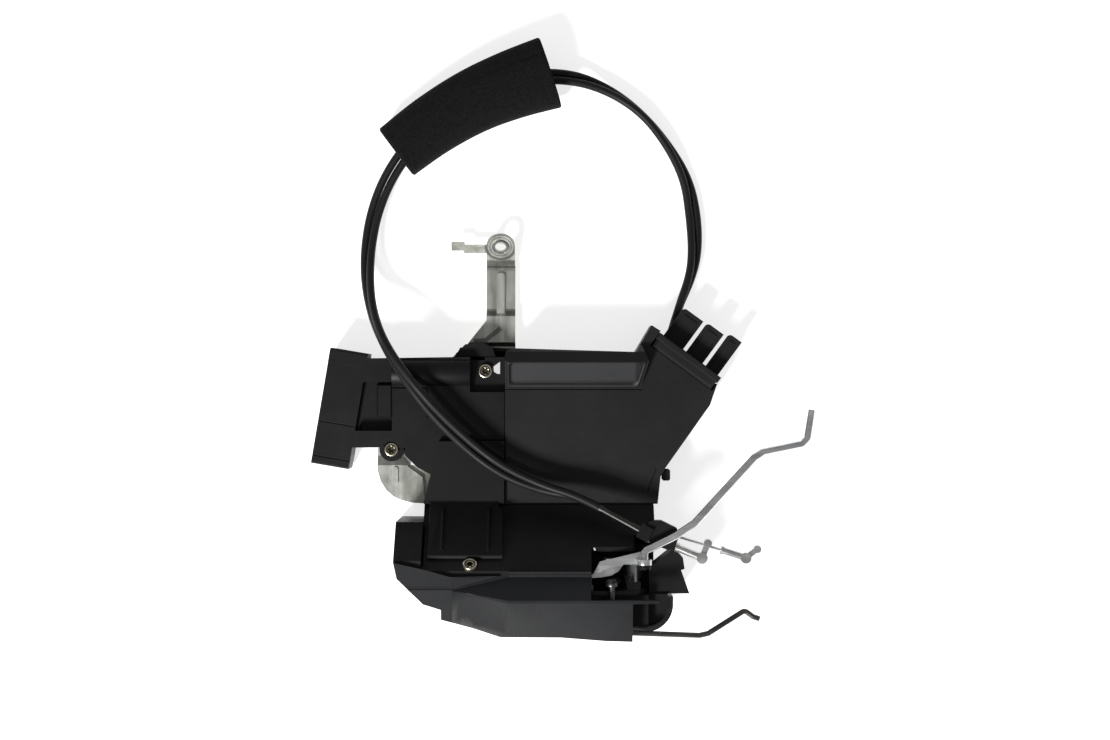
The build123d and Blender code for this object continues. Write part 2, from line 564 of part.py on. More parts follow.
def mount_bracket():
    """Steel back plate: pressed lobe, flared neck, cranked arm and an M6 eye."""
    base = slab([
        (-105.5, -6.1), (-105.5, -18.6), (-103.6, -25.0), (-100.5, -29.8),
        (-96.6, -33.4), (-91.8, -35.6), (-86.0, -37.0), (-79.5, -37.4), (-52.0, -37.4),
        (-22.0, -12.0), (-16.0, 30.0), (-27.2, 50.0), (-27.2, 53.0), (-55.8, 53.0),
        (-62.9, 45.6), (-80.0, 24.0), (-92.0, 4.0),
    ], 0, BRACKET_T)
    base -= slab([(-86.6, -12.4), (-82.8, -16.2), (-86.8, -15.6)], -1, 5)
    base -= slab(CHUTE, -1, 5)
    lobe_plan = [
        (-105.5, -10.4), (-105.5, -18.6), (-103.6, -25.0), (-100.5, -29.8), (-96.6, -33.4),
        (-91.8, -35.6), (-86.0, -37.0), (-79.5, -37.4), (-78.6, -34.0), (-79.8, -22.6),
        (-88.0, -16.6), (-91.0, -10.4)]
    lobe = slab(lobe_plan, 0, LOBE_Z)
    lobe -= along_x([(-10.0, 1.9), (-10.0, 9), (-16.2, 9), (-15.8, LOBE_Z)], -110, -70)
    lobe -= post(*SCREW_2, 7.1, BRACKET_T, 9)
    dish = extrude(Pos(0, 0, -1) * inset(lobe_plan, BRACKET_T), amount=LOBE_Z - 1.2, dir=(0, 0, 1))
    dish &= block(-110, -70, -60, -17.0, -2, 9)
    rib = block(-96.7, -93.7, -26.6, -16.8, LOBE_Z - 0.1, LOBE_Z + 1.0)
    rib = fillet(rib.edges().filter_by(Axis.Z), 1.4)
    base = base + lobe - dish + rib
    # arm: neck up from the plate, flat flare, step, sloping arm, tilted tab
    t = STRAP_T
    c, sn = cos(radians(TAB_TILT)), sin(radians(TAB_TILT))
    valley = (97.2, TAB_AT[2] - (TAB_AT[1] - 97.2) * sn / c)
    tip = (valley[0] + 24 * c, valley[1] + 24 * sn)
    y0, y1 = FLARE_Y
    arm_z = FLARE_Z - STEP_DROP
    top = [(y0 - 1.6, BRACKET_T), (y0, BRACKET_T), (y0 + 2.4, FLARE_Z), (y1, FLARE_Z),
           (STEP_Y, arm_z), (BEND_Y, arm_z - 0.6), valley, tip]
    low = [(tip[0] + t * sn, tip[1] - t * c), (valley[0] + 0.8, valley[1] - t),
           (BEND_Y - 0.6, arm_z - 0.6 - t), (STEP_Y - 0.6, arm_z - t),
           (y1 - 0.6, FLARE_Z - t), (y0 + 4.2, FLARE_Z - t), (y0 + 1.6, 0), (y0 - 1.6, 0)]
    arm = along_x(top + low, -60.0, STRAP_X[1] - 0.2)
    eye = Plane(origin=TAB_AT, x_dir=(1, 0, 0), z_dir=(0, -sn, c))
    plan = slab([(-56.6, y0 - 1.6), (STRAP_X[1], y0 - 1.6), (STRAP_X[1], 97.5),
                 (STRAP_X[0], 97.5), (STRAP_X[0], 66.5)], -5, 60)
    round_tab = extrude(eye * (Circle(TAB_R) + Pos(0, -6.0) * Rectangle(2 * TAB_R, 12.0)),
                        amount=12, both=True)
    arm = (arm & plan) + (arm & round_tab & block(-60, 0, 97.0, 130, -20, 60))
    ring = extrude(eye * (Circle(4.8) - Circle(M6_R)), amount=0.9)
    bead = block(-37.8, -32.8, y1 + 0.6, BEND_Y - 1.0, arm_z - 0.9, arm_z + 1.0)
    bead = fillet(bead.edges().filter_by(Axis.Z), 2.0)
    bead = fillet(bead.edges().group_by(Axis.Z)[-1], 0.7)
    curl = slab([(-50.6, 55.9), (-44.2, 56.4), (-36.2, 62.9), (-34.6, 61.0), (-43.4, 54.2),
                 (-50.4, 54.3)], FLARE_Z - 0.2, FLARE_Z + 0.9)
    spur = extrude(eye * (Pos(-14.0, -1.5) * Rectangle(13.5, 4.4)), amount=-t)
    hook = extrude(eye * (Pos(-24.0, 0.2) * Rectangle(7.5, 4.4)), amount=-t)
    whole = base + arm + bead + curl + ring + spur + hook
    whole -= extrude(eye * Circle(M6_R), amount=10, both=True)
    for x, y in (SCREW_1, SCREW_2):
        whole -= post(x, y, SCREW_R + SLIDE, -1, 5)
    return whole


def screws():
    """Identical thread-forming screws: two upright, one square to the slope."""
    out = []
    for (x, y), seat in ((SCREW_1, WELL_Z[1]), (SCREW_2, 22.0)):
        out.append(screw_body(seat - 0.4 - BRACKET_T, Pos(x, y, seat)))
    tilt = Pos(-50.6, -67.7, 67.7 + SLOPE_Y + COVER_TOP) * Rot(-45, 0, 0)
    out.append(screw_body(LEG_WALL + 4.0, tilt))
    return out


def screw_body(length, place):
    head = Pos(0, 0, SCREW_HEAD_T / 2) * Cylinder(SCREW_HEAD_R, SCREW_HEAD_T)
    head = fillet(head.edges().group_by(Axis.Z)[-1], 0.8)
    recess = extrude(Pos(0, 0, 0.9) * RegularPolygon(1.7, 6), amount=3)
    shank = Pos(0, 0, -length / 2 + 0.1) * Cylinder(SCREW_R, length + 0.2)
    return place * (head - recess + shank)


# ---------------------------------------------------------------- latch leg
def plate_plan(shift=0.0):
    """Plan path of the bent face plate: left wing, flat, rounded right flank."""
    y = FACE_Y + shift
    k = shift * 0.33
    wing = BuildLine()
    with wing:
        Polyline((-64.0 + k, y + WING_DROP), (-34.0 + 0.17 * shift, y), (46.0, y))
        CenterArc((46.0, FACE_Y + 14.0), 14.0 - shift, -90, 90)
    return wing.line


def sheet_plan(y_outer_shift, y_inner_shift):
    outer, inner = plate_plan(y_outer_shift), plate_plan(y_inner_shift)
    a, b = outer @ 0, outer @ 1
    c, d = inner @ 0, inner @ 1
    back = FACE_Y + 18.0
    edges = outer.edges() + inner.edges()
    edges += [Edge.make_line(a, c), Edge.make_line(b, (b.X, back))]
    edges += [Edge.make_line((b.X, back), (d.X, back)), Edge.make_line((d.X, back), d)]
    return make_face(edges)


def face_plate():
    plan = sheet_plan(0, PLATE_T)
    body = extrude(plan, amount=PLATE_TOP)
    main = outline([(-62, 12), (-56, 4), (-34, 2), (41, 2), (48, 8), (62, 12), (62, 46),
                    (48, 54), (44, 56), (19.5, 56), (17.5, PLATE_TOP), (-34, PLATE_TOP), (-56, 54),
                    (-62, 46)])
    main = fillet(main.vertices(), 1.6)
    body &= along_y(main, -120, -80)
    slot = Pos(SLOT_X, 0) * Rectangle(SLOT_W, 2 * CLAW_Z) + Pos(SLOT_X, CLAW_Z) * Circle(SLOT_W / 2)
    mouth = outline([(SLOT_X - SLOT_W / 2 - 4, 0), (SLOT_X + SLOT_W / 2 + 4, 0),
                     (SLOT_X + SLOT_W / 2, 6.5), (SLOT_X - SLOT_W / 2, 6.5)])
    body -= along_y(slot + mouth, FACE_Y - 1, FACE_Y + PLATE_T + 1)
    # extruded collars round the tapped holes
    for x, z in MOUNT_HOLES:
        body += rod_y(x, z, MOUNT_COLLAR_R, FACE_Y + PLATE_T - 0.5,
                      FACE_Y + PLATE_T + MOUNT_COLLAR_H)
        body -= rod_y(x, z, MOUNT_R, FACE_Y - 1, FACE_Y + PLATE_T + 4)
    for x, z, r in ((CLAW_X, CLAW_Z, PIN_R - 1), (PAWL_X, PAWL_Z, PAWL_PIN_R - 1)):
        body -= rod_y(x, z, r + SLIDE, FACE_Y - 1, FACE_Y + PLATE_T + 1)
    return body


def casing_y(depth):
    return FACE_Y + PLATE_T + depth


def latch_casing():
    front = plate_plan(PLATE_T)
    a, b = front @ 0, front @ 1
    back = CASING_BACK_Y
    edges = front.edges() + [
        Edge.make_line(b, (b.X, back)), Edge.make_line((b.X, back), (a.X, back)),
        Edge.make_line((a.X, back), a),
    ]
    body = extrude(make_face(edges), amount=64.0)
    body -= block(19.0, 70.0, -110, -80, 57.0, 70.0)
    body -= block(46.0, 70.0, -110, -80, 50.0, 70.0)
    y0 = FACE_Y + PLATE_T - 1
    pawl_room = outline([(-9.8, 38.0), (-9.8, 61.4), (2.0, 61.4), (20.0, 54.8), (34.4, 53.4),
                         (34.4, 37.0), (20.0, 36.0), (8.0, 36.0)])
    cavity = Pos(CLAW_X, CLAW_Z) * Circle(CLAW_R + 0.7) + pawl_room
    body -= along_y(cavity, y0, casing_y(POCKET_DEPTH))
    slot = Pos(SLOT_X, CLAW_Z / 2 - 1) * Rectangle(SLOT_W, CLAW_Z + 2)
    slot += Pos(SLOT_X, CLAW_Z) * Circle(SLOT_W / 2)
    body -= along_y(slot, y0, casing_y(SLOT_DEPTH))
    for x, z in MOUNT_HOLES:
        body -= rod_y(x, z, MOUNT_COLLAR_R + 0.2, y0, casing_y(MOUNT_COLLAR_H + 0.3))
        body -= rod_y(x, z, 3.4, y0, casing_y(12.0))
    for x, z, r in ((CLAW_X, CLAW_Z, PIN_R), (PAWL_X, PAWL_Z, PAWL_PIN_R)):
        body -= rod_y(x, z, r + SLIDE, -110, back + 1)
    # spring pockets behind the fork and the pawl
    body -= rod_y(CLAW_X, CLAW_Z, 9.2, y0, casing_y(POCKET_DEPTH + 6.4))
    body -= rod_y(PAWL_X, PAWL_Z, 7.2, y0, casing_y(POCKET_DEPTH + 5.2))
    # release opening for the pawl's drive pin
    body -= along_y(Pos(PAWL_X - 12.0, PAWL_Z + 2.0) * Circle(5.6), -110, back + 1)
    # seat of the bump stop
    body -= stop_shape()
    # pockets that lighten the right flank
    body -= block(40.5, 54.0, casing_y(3.0), back - 3.0, 14.0, 46.0) & block(
        40.5, 53.0, -99.0, -87.0, 14.0, 44.0)
    # wing that guards the lever opening, open underneath
    wing = [(46.7, back), (46.7, -70.0), (60.1, -59.3), (65.3, -64.4), (66.2, -70.5),
            (64.3, -71.2), (68.9, back)]
    wing_body = slab(wing, 30.4, 48.0) - slab(
        [(48.9, back + 1), (48.9, -70.4), (60.0, -62.0), (62.9, -65.0), (63.5, -69.4),
         (62.0, -71.0), (66.0, back + 1)], 29.0, 45.8)
    wing_body -= block(55, 70, back - 1, back + 0.01, 20, 60)
    body += wing_body
    return body


def stop_shape():
    """Rubber stop above the striker's end position."""
    body = Pos(SLOT_X, 37.2) * Rectangle(9.0, 6.6)
    return along_y(body, casing_y(POCKET_DEPTH + 0.4), casing_y(SLOT_DEPTH - 1.4))


def bump_stop():
    stop = stop_shape()
    keep = along_y(Pos(SLOT_X, CLAW_Z + 10) * Rectangle(8.4, 30), -120, -80)
    return stop & keep & block(-50, 50, -120, -80, 34.2, 40.2)


def back_plate():
    y = CASING_BACK_Y
    plan = outline([(-34, 8), (-24, 3), (-2, 3), (2, 14), (2, 34), (14, 34), (14, 14),
                    (20, 3), (44, 8), (46, 44), (40, 55), (-20, 55), (-34, 44)])
    plan = fillet(plan.vertices(), 1.8)
    body = along_y(plan, y, y + BACK_PLATE_T)
    for x, z, r in ((CLAW_X, CLAW_Z, PIN_R - 1), (PAWL_X, PAWL_Z, PAWL_PIN_R - 1)):
        body -= rod_y(x, z, r + SLIDE, y - 1, y + BACK_PLATE_T + 1)
    body -= along_y(Pos(PAWL_X - 12.0, PAWL_Z + 2.0) * Circle(5.6), y - 1, y + 5)
    body -= rod_y(LEVER_X, LEVER_Z, LEVER_PIN_R - 1 + SLIDE, y - 1, y + 5)
    body -= rod_y(KEY_X, KEY_Z - 26, 5.0, y - 1, y + 5)
    flange = block(-30, -6, y, y + 10, 55 - 2, 55)
    ear = block(34.6, 42.0, y, y + 6.6, 50.0, 51.8)
    return body + flange + ear


def shouldered_pin(x, z, radius, tail=0.0):
    """Pin through casing and both plates: flush at the shut face, riveted behind."""
    y1 = CASING_BACK_Y + BACK_PLATE_T + tail
    pin = rod_y(x, z, radius, FACE_Y + PLATE_T, CASING_BACK_Y)
    pin += rod_y(x, z, radius - 1, FACE_Y, y1 + 0.1)
    head = rod_y(x, z, radius + 0.6, y1, y1 + 1.4)
    return pin + chamfer(head.edges().sort_by(Axis.Y)[-1], 0.6)


def claw_sketch():
    """Fork in its latched position: mouth along +x, lower hook, toothed upper jaw."""
    disc = Circle(CLAW_R)
    low = Circle(CLAW_R + 2) - Circle(CLAW_LOW_R)

    def sector(a0, a1):
        far = CLAW_R + 6
        mid = (a0 + a1) / 2
        return outline([(0, 0), (far * cos(radians(a0)), far * sin(radians(a0))),
                        (far * 1.3 * cos(radians(mid)), far * 1.3 * sin(radians(mid))),
                        (far * cos(radians(a1)), far * sin(radians(a1)))])

    sketch = disc - (low & sector(36, 80)) - (low & sector(104, 190)) - (low & sector(190, 284))
    mouth = Pos(CLAW_R, 0) * Rectangle(2 * (CLAW_R - 19), MOUTH_W)
    mouth += Pos(19, 0) * Circle(MOUTH_W / 2) + Pos(24, 0) * Rectangle(10, MOUTH_W)
    return sketch - mouth


def claw():
    sketch = Pos(CLAW_X, CLAW_Z) * Rot(0, 0, -CLAW_TURN) * claw_sketch()
    y0 = FACE_Y + PLATE_T + FIT
    body = along_y(sketch, y0, y0 + CLAW_T)
    body -= rod_y(CLAW_X, CLAW_Z, PIN_R + SLIDE, -120, -80)
    return body


def pawl_sketch():
    """Pawl in its dropped position; the nose lies just ahead of the fork's tooth."""
    cx, cz = CLAW_X, CLAW_Z

    def polar(radius, angle):
        return (cx + radius * cos(radians(angle)), cz + radius * sin(radians(angle)))

    arm = outline([
        polar(CLAW_LOW_R + 0.4, 62), polar(CLAW_LOW_R + 0.4, 79.2), polar(25.0, 79.2),
        (PAWL_X - 2.0, PAWL_Z + 6.8), (PAWL_X + 4.0, PAWL_Z), (PAWL_X - 3.0, PAWL_Z - 6.0),
        (8.4, 44.3),
    ])
    return arm + Pos(PAWL_X, PAWL_Z) * Circle(7.0)


def pawl():
    place = Pos(PAWL_X, PAWL_Z) * Rot(0, 0, -PAWL_LIFT) * Pos(-PAWL_X, -PAWL_Z)
    y0 = FACE_Y + PLATE_T + FIT
    body = along_y(place * pawl_sketch(), y0, y0 + CLAW_T)
    pin = place * (Pos(PAWL_X - 12.0, PAWL_Z + 1.0) * Circle(2.5))
    body += along_y(pin, y0 + 1, CASING_BACK_Y + BACK_PLATE_T + 3.0)
    body -= rod_y(PAWL_X, PAWL_Z, PAWL_PIN_R + SLIDE, -120, -80)
    return body


def coil(x, z, radius, wire, turns, y_front, legs):
    """Torsion spring along Y with two straight legs."""
    pitch = wire * 1.12
    path = Helix(pitch, pitch * turns, radius)
    start = Plane(origin=path @ 0, x_dir=(1, 0, 0), z_dir=path % 0)
    body = sweep(start * RegularPolygon(wire / 2, 8), path=path, is_frenet=True)
    for at, leg in ((0, legs[0]), (1, legs[1])):
        p = path @ at
        d = (path % at) * (-1 if at == 0 else 1)
        d = Vector(d.X, d.Y, 0).normalized()
        body += extrude(Plane(origin=p, z_dir=d) * Circle(wire / 2), amount=leg)
    place = Plane(origin=(x, y_front, z), x_dir=(1, 0, 0), z_dir=(0, 1, 0))
    return place.location * body


SHIELD_T = 2.0
VALLEY_DROP = 3.4
VALLEY_Z = LEG_TOP - VALLEY_DROP
VALLEY_X = (-60.0, -30.0, 14.7)
RIDGE_Y = SLOPE_Y - (LEG_TOP - COVER_TOP) - 0.2
SHIELD_FLAT = LEG_TOP + 0.65 * SHIELD_RISE
SHIELD_EDGE = LEG_TOP + 0.4 * SHIELD_RISE


def valley(near, far):
    """Solid along X that fades from one (y, z) profile to another at its left end."""
    x0, x1, x2 = VALLEY_X
    plane = Plane(origin=(x1, 0, 0), x_dir=(0, 1, 0), z_dir=(1, 0, 0))
    tip = Plane(origin=(x0, 0, 0), x_dir=(0, 1, 0), z_dir=(1, 0, 0))
    return along_x(near, x1, x2) + loft([tip * outline(far), plane * outline(near)], ruled=True)


def valley_shell(drop=0.0):
    """Everything of the valley's sheet that lies below the roof's level."""
    z = VALLEY_Z - SHIELD_T - drop
    top = LEG_TOP + 0.4
    near = [(RIDGE_Y, top), (RIDGE_Y - 1.0, z), (RIDGE_Y - 3.6, z), (-84.0, top)]
    far = [(-79.0, top), (-79.2, LEG_TOP - 0.2), (-80.0, LEG_TOP - 0.2), (-80.4, top)]
    return valley(near, far)


def valley_air():
    sky = SHIELD_TOP + 12.0
    near = [(RIDGE_Y - 1.2, sky), (RIDGE_Y - 1.2, LEG_TOP), (RIDGE_Y - 2.2, VALLEY_Z),
            (RIDGE_Y - 3.4, VALLEY_Z), (-85.6, SHIELD_TOP), (-85.6, sky)]
    flat = SHIELD_FLAT
    far = [(-79.0, sky), (-79.0, flat + 0.8), (-79.4, flat), (-80.2, flat), (-80.6, flat + 0.6),
           (-80.6, sky)]
    return valley(near, far)


def water_shield():
    """Cover over the latch: light flange at the front, hollow, raised panel."""
    plan = [
        (-91.8, -65.4), (-74.6, -69.2), (-61.1, -73.0), (-30.0, -72.4), (-30.0, RIDGE_Y),
        (14.7, RIDGE_Y), (14.7, -85.4), (52.0, -85.4), (51.0, -87.2), (37.2, -87.4),
        (37.0, -107.9), (22.7, -107.5), (-1.5, -105.6), (-34.0, -105.4), (-49.3, -100.4),
        (-66.0, -96.0), (-66.1, -90.7), (-75.7, -87.7), (-89.9, -74.0),
    ]
    crest, edge, level = SHIELD_TOP, SHIELD_EDGE, SHIELD_FLAT
    prism = slab(plan, LEG_TOP, crest + 10)
    right = [(-60.0, LEG_TOP), (-60.0, edge), (-78.0, edge), (-79.4, edge - 0.7),
             (-85.6, crest), (-87.0, crest), (-108.5, edge), (-108.5, LEG_TOP)]
    body = along_x(right, -30.0, 60.0)
    flat = [(-60.0, LEG_TOP), (-60.0, level), (-78.0, level), (-79.4, level + 0.1),
            (-79.8, level + 0.4), (-80.2, level + 0.4), (-108.5, edge), (-108.5, LEG_TOP)]
    near = Plane(origin=(-30.0, 0, 0), x_dir=(0, 1, 0), z_dir=(1, 0, 0)) * outline(right)
    far = Plane(origin=(-60.0, 0, 0), x_dir=(0, 1, 0), z_dir=(1, 0, 0)) * outline(flat)
    body += loft([far, near], ruled=True)
    body += along_x(flat, -95.0, -60.0)
    body &= prism
    body += valley_shell() & slab(plan, 40, LEG_TOP + 0.4)
    body -= valley_air()
    # lip over the top edge of the face plate
    lip = slab([(-65.9, -95.4), (-49.3, -100.3), (-34.0, -105.3), (17.0, -105.5),
                (17.0, -104.3), (-34.0, -104.3), (-65.2, -93.3)],
               PLATE_TOP + FIT, LEG_TOP + 0.5)
    return body + lip


LEG_PLAN = [
    (-79.4, CASING_BACK_Y), (-89.4, -74.3), (-92.0, -65.6), (-92.0, -45.0), (-77.0, -45.0),
    (-77.0, -36.3), (50.0, -36.3), (50.0, CASING_BACK_Y),
]


def leg_housing():
    """Hollow moulded leg, open towards the latch, with the sloping front."""
    x0, x1 = LEG_X
    y = CASING_BACK_Y
    t = LEG_WALL
    top_y = SLOPE_Y - (LEG_TOP - COVER_TOP)
    front = MODULE[14][1] - FIT
    foot = front - 2.4
    brow = -front + SLOPE_Y + COVER_TOP
    split_x = 15.0
    low_y, low_z = -58.0, 58.0 + SLOPE_Y + COVER_TOP
    high = [(y, 0), (foot, 0), (front, 6), (front, brow), (top_y, LEG_TOP), (y, LEG_TOP)]
    low = [(y, 0), (foot, 0), (front, 6), (front, brow), (low_y, low_z),
           (low_y - 2.5, low_z), (low_y - 2.5, 30.0), (y, 30.0)]
    left = [(y, 0), (-45.0, 0), (-45.0, 46.0), (-47.5, 48.5), (-64.5, LEG_TOP), (y, LEG_TOP)]
    body = along_x(high, -77.0, split_x) + along_x(low, split_x, x1) + along_x(left, x0, -77.0)
    body &= slab(LEG_PLAN, -1, 80)
    mouth = y - 1
    cave = along_x(
        [(mouth, t), (foot - t, t), (front - t, 8), (front - t, 29.0),
         (top_y - 1.4, LEG_TOP - t), (mouth, LEG_TOP - t)], -76.0, split_x - t)
    cave += along_x(
        [(mouth, t), (foot - t, t), (front - t, 8), (front - t, 29.0), (-57.0, 49.8),
         (-58.2, 49.8), (-58.2, 27.5), (mouth, 27.5)], split_x - t - 0.01, x1 - t)
    cave += along_x(
        [(mouth, t), (-47.5, t), (-47.5, 45.0), (-49.0, 46.6), (-65.2, LEG_TOP - t),
         (mouth, LEG_TOP - t)], x0 + t, -75.99)
    shell = extrude(Pos(0, 0, -1) * inset(LEG_PLAN, t), amount=90, dir=(0, 0, 1))
    cave &= shell + block(-60.0, x1 - t, mouth, y + t + 1, 0, 80)
    body -= cave - valley_shell(LEG_WALL)
    body -= valley_shell() & slab([(-95, -72.7), (-30, -72.4), (-30, RIDGE_Y), (20, RIDGE_Y),
                                   (20, -90), (-95, -90)], 40, 80)
    # the lever opening stays free of the low front
    body -= block(44.0, 60.0, -70.0, -49.5, 30.0, 80.0)
    body -= block(38.5, 60.0, -70.0, -52.0, 30.0, 80.0)
    # the third screw's hole and the sight gap beside the raised panel
    tilt = Pos(-50.6, -67.7, 67.7 + SLOPE_Y + COVER_TOP) * Rot(-45, 0, 0)
    body -= tilt * Cylinder(SCREW_R + SLIDE, 30)
    body -= slab([(15.6, -58.5), (17.0, -58.5), (19.8, -64.5), (17.6, -64.5)], -5, 80)
    return body - back_room()


def back_room():
    """Room for the back plate's flange and the levers behind it."""
    y0 = CASING_BACK_Y - 1
    y1 = CASING_BACK_Y + BACK_PLATE_T + FIT
    return (block(-40, 15.0, y0, y1, 2.6, 55.6) + block(15.0, 46.5, y0, y1, 2.6, 63.4)
            + block(8.0, 20.0, y0, y1 + 3.7, 38.0, 55.0))


# ---------------------------------------------------------------- levers, rods
LEVER_Y = (-67.0, -64.0)
BLADE_TOP = 59.8


def outside_lever():
    """Bell crank for the outside handle: upright arm, side arm, folded flange."""
    ex, ez = ROD_EYE
    y0, y1 = LEVER_Y
    sketch = Pos(LEVER_X, LEVER_Z) * Circle(6.2)
    sketch += outline([(LEVER_X - 5.0, LEVER_Z), (LEVER_X + 5.6, LEVER_Z + 1.5),
                       (ex + 4.0, ez - 1.0), (ex + 1.0, ez + 2.0), (ex - 4.2, ez - 0.5),
                       (ex - 5.0, BLADE_TOP), (23.0, BLADE_TOP), (21.6, 52.4), (23.0, 51.0),
                       (LEVER_X - 4.0, 49.0)])
    sketch += Pos(ex, ez) * Circle(4.2)
    plate = along_y(sketch, y0, y1)
    flange = slab([(15.3, -73.7), (21.3, -70.4), (26.1, -68.3), (41.3, -65.2), (44.6, -62.9),
                   (42.9, -59.8), (26.1, -63.9), (19.6, -65.4)], BLADE_TOP - 1.6, BLADE_TOP)
    flange += slab([(15.3, -72.9), (15.3, -74.9), (20.5, -74.6), (26.1, -73.6), (30.0, -71.2),
                    (33.0, -66.9), (24.0, -66.9), (22.0, -71.0)], 52.0, 53.6)
    barrel = rod_y(LEVER_X, LEVER_Z, 5.4, CASING_BACK_Y + BACK_PLATE_T + FIT, y0)
    body = plate + barrel + flange
    body -= rod_y(LEVER_X, LEVER_Z, LEVER_PIN_R + SLIDE, -90, -50)
    body -= rod_y(ex, ez, ROD_R + SLIDE, -90, -50)
    return body


def outside_lever_pin():
    y0, y1 = CASING_BACK_Y, LEVER_Y[1]
    pin = rod_y(LEVER_X, LEVER_Z, LEVER_PIN_R, y0 + BACK_PLATE_T, y1 + FIT)
    pin += rod_y(LEVER_X, LEVER_Z, LEVER_PIN_R - 1, y0, y0 + BACK_PLATE_T + 0.1)
    head = rod_y(LEVER_X, LEVER_Z, LEVER_PIN_R + 1.4, y1 + FIT, y1 + FIT + 1.2)
    return pin + head


def outside_rod():
    """Wire rod to the outside handle, hooked through the lever's eye."""
    ex, ez = ROD_EYE
    route = [
        (ex, LEVER_Y[0] - 2.4, ez), (ex, -59.6, ez), (60.0, -51.6, ez), (71.0, -44.6, 60.0),
        (104.7, -9.6, 46.0), (109.4, -6.6, 45.0), (131.4, -2.4, 39.0), (134.6, 0.6, 38.0),
        (137.4, 16.0, 35.0),
    ]
    return bent_rod(route, ROD_R, 3.2)


def outside_rod_clip():
    """Plastic clip that keeps the rod in the eye."""
    ex, ez = ROD_EYE
    y1 = LEVER_Y[0]
    ring = rod_y(ex, ez, 3.8, y1 - 2.2, y1 - 0.05) - rod_y(ex, ez, ROD_R + 0.02, -90, -50)
    return ring


def key_lever():
    y0 = CASING_BACK_Y + BACK_PLATE_T + FIT + KEY_HUB
    y1 = y0 + KEY_LEVER_T
    bore = PAWL_PIN_R - 1 + SLIDE
    sketch = Pos(KEY_X, KEY_Z) * Circle(5.6)
    sketch += outline([(KEY_X - 4.4, KEY_Z), (KEY_X + 4.4, KEY_Z), (KEY_X + 3.0, KEY_EYE_Z),
                       (KEY_X - 3.0, KEY_EYE_Z)])
    sketch += Pos(KEY_X, KEY_EYE_Z) * Circle(3.0)
    body = along_y(sketch, y0, y1)
    body += rod_y(KEY_X, KEY_Z, 4.6, y0 - KEY_HUB, y0)
    body -= rod_y(KEY_X, KEY_Z, bore, -90, -50)
    body -= rod_y(KEY_X, KEY_EYE_Z, KEY_ROD_R + SLIDE, -90, -50)
    return body


def key_rod():
    y_eye = CASING_BACK_Y + BACK_PLATE_T + FIT + KEY_HUB + KEY_LEVER_T + 1.6
    z = KEY_EYE_Z
    route = [(KEY_X, y_eye, z), (KEY_X, -103.4, z), (73.7, -105.6, 58.0),
             (78.4, -104.6, 57.6), (98.4, -92.4, 55.0), (103.0, -95.8, 54.6),
             (106.4, -97.0, 54.2)]
    return bent_rod(route, KEY_ROD_R, 2.4)


def key_rod_clip():
    y0 = CASING_BACK_Y + BACK_PLATE_T + FIT + KEY_HUB + KEY_LEVER_T + 0.05
    ring = rod_y(KEY_X, KEY_EYE_Z, 2.8, y0, y0 + 1.4)
    return ring - rod_y(KEY_X, KEY_EYE_Z, KEY_ROD_R + 0.02, -90, -50)


# ---------------------------------------------------------------- cables
# Route of the cable pair: x, y, z of its middle, then each cable's offset across
# the route and upwards. The cables leave the outlet one above the other.
ROUTE = [
    (72.2, 91.0, 8.2, 0.9, 2.3),
    (74.8, 106.0, 6.2, 1.9, 1.6),
    (73.9, 125.5, 5.0, 2.35, 0.9),
    (70.2, 146.0, 4.9, 1.6, 1.9),
    (60.0, 165.0, 5.1, 0.7, 2.4),
    (46.0, 182.6, 5.2, 0.2, 2.5),
    (28.5, 195.6, 6.4, 1.0, 2.3),
    (8.0, 203.4, 10.6, 2.1, 1.3),
    (-16.0, 204.0, 14.2, 2.4, 0.6),
    (-40.0, 194.5, 14.8, 2.45, 0.0),
    (-64.0, 181.3, 14.8, 2.45, 0.0),
    (-86.0, 165.2, 13.9, 2.45, 0.2),
    (-98.6, 147.6, 11.2, 2.45, 0.4),
    (-106.6, 128.6, 8.6, 2.3, 0.9),
    (-110.4, 109.0, 8.4, 2.1, 1.3),
    (-110.7, 90.0, 12.6, 1.7, 1.8),
    (-107.4, 71.5, 23.0, 1.0, 2.3),
    (-100.2, 54.4, 36.0, 0.7, 2.4),
    (-88.4, 36.0, 45.0, 1.2, 2.2),
    (-69.4, 12.4, 45.6, 2.0, 1.5),
    (-40.0, -14.2, 43.4, 2.35, 0.9),
    (-13.0, -26.6, 42.6, 1.7, 1.8),
]
FERRULE_START = (20.3, -37.4, 48.0)
FERRULE_DIR = Vector(0.8575, -0.4604, 0.2315).normalized()
END_RUN = 14.0
FERRULE_L = 25.0
FERRULE_R = 1.8


def cable_points(side):
    """One cable's own route, beside or above its twin."""
    start = gland_root(side) + GLAND_DIR * GLAND_L
    end = ferrule_plane(side, 0).origin
    points = [start, start + GLAND_DIR * END_RUN]
    for i, (x, y, z, across, up) in enumerate(ROUTE):
        a = Vector(*ROUTE[max(i - 1, 0)][:3])
        b = Vector(*ROUTE[min(i + 1, len(ROUTE) - 1)][:3])
        ahead = (b - a).normalized()
        left = Vector(0, 0, 1).cross(ahead).normalized()
        above = ahead.cross(left)
        points.append(Vector(x, y, z) + left * (side * across) + above * (side * up))
    points += [end - FERRULE_DIR * END_RUN, end]
    return [tuple(p) for p in points]


def ferrule_plane(side, along):
    level = Vector(0, 0, 1).cross(FERRULE_DIR).normalized()
    above = FERRULE_DIR.cross(level)
    start = Vector(*FERRULE_START) + above * (side * CABLE_GAP)
    return Plane(origin=start + FERRULE_DIR * along, z_dir=FERRULE_DIR)


def cable_ferrules():
    """Crimped end tubes of both cables, each with a stop collar."""
    out = []
    for side in (-1, 1):
        body = extrude(ferrule_plane(side, 0.05) * Circle(FERRULE_R), amount=FERRULE_L)
        body += extrude(ferrule_plane(side, 0.05) * Circle(FERRULE_R + 0.45), amount=1.6)
        out.append(body)
    return out


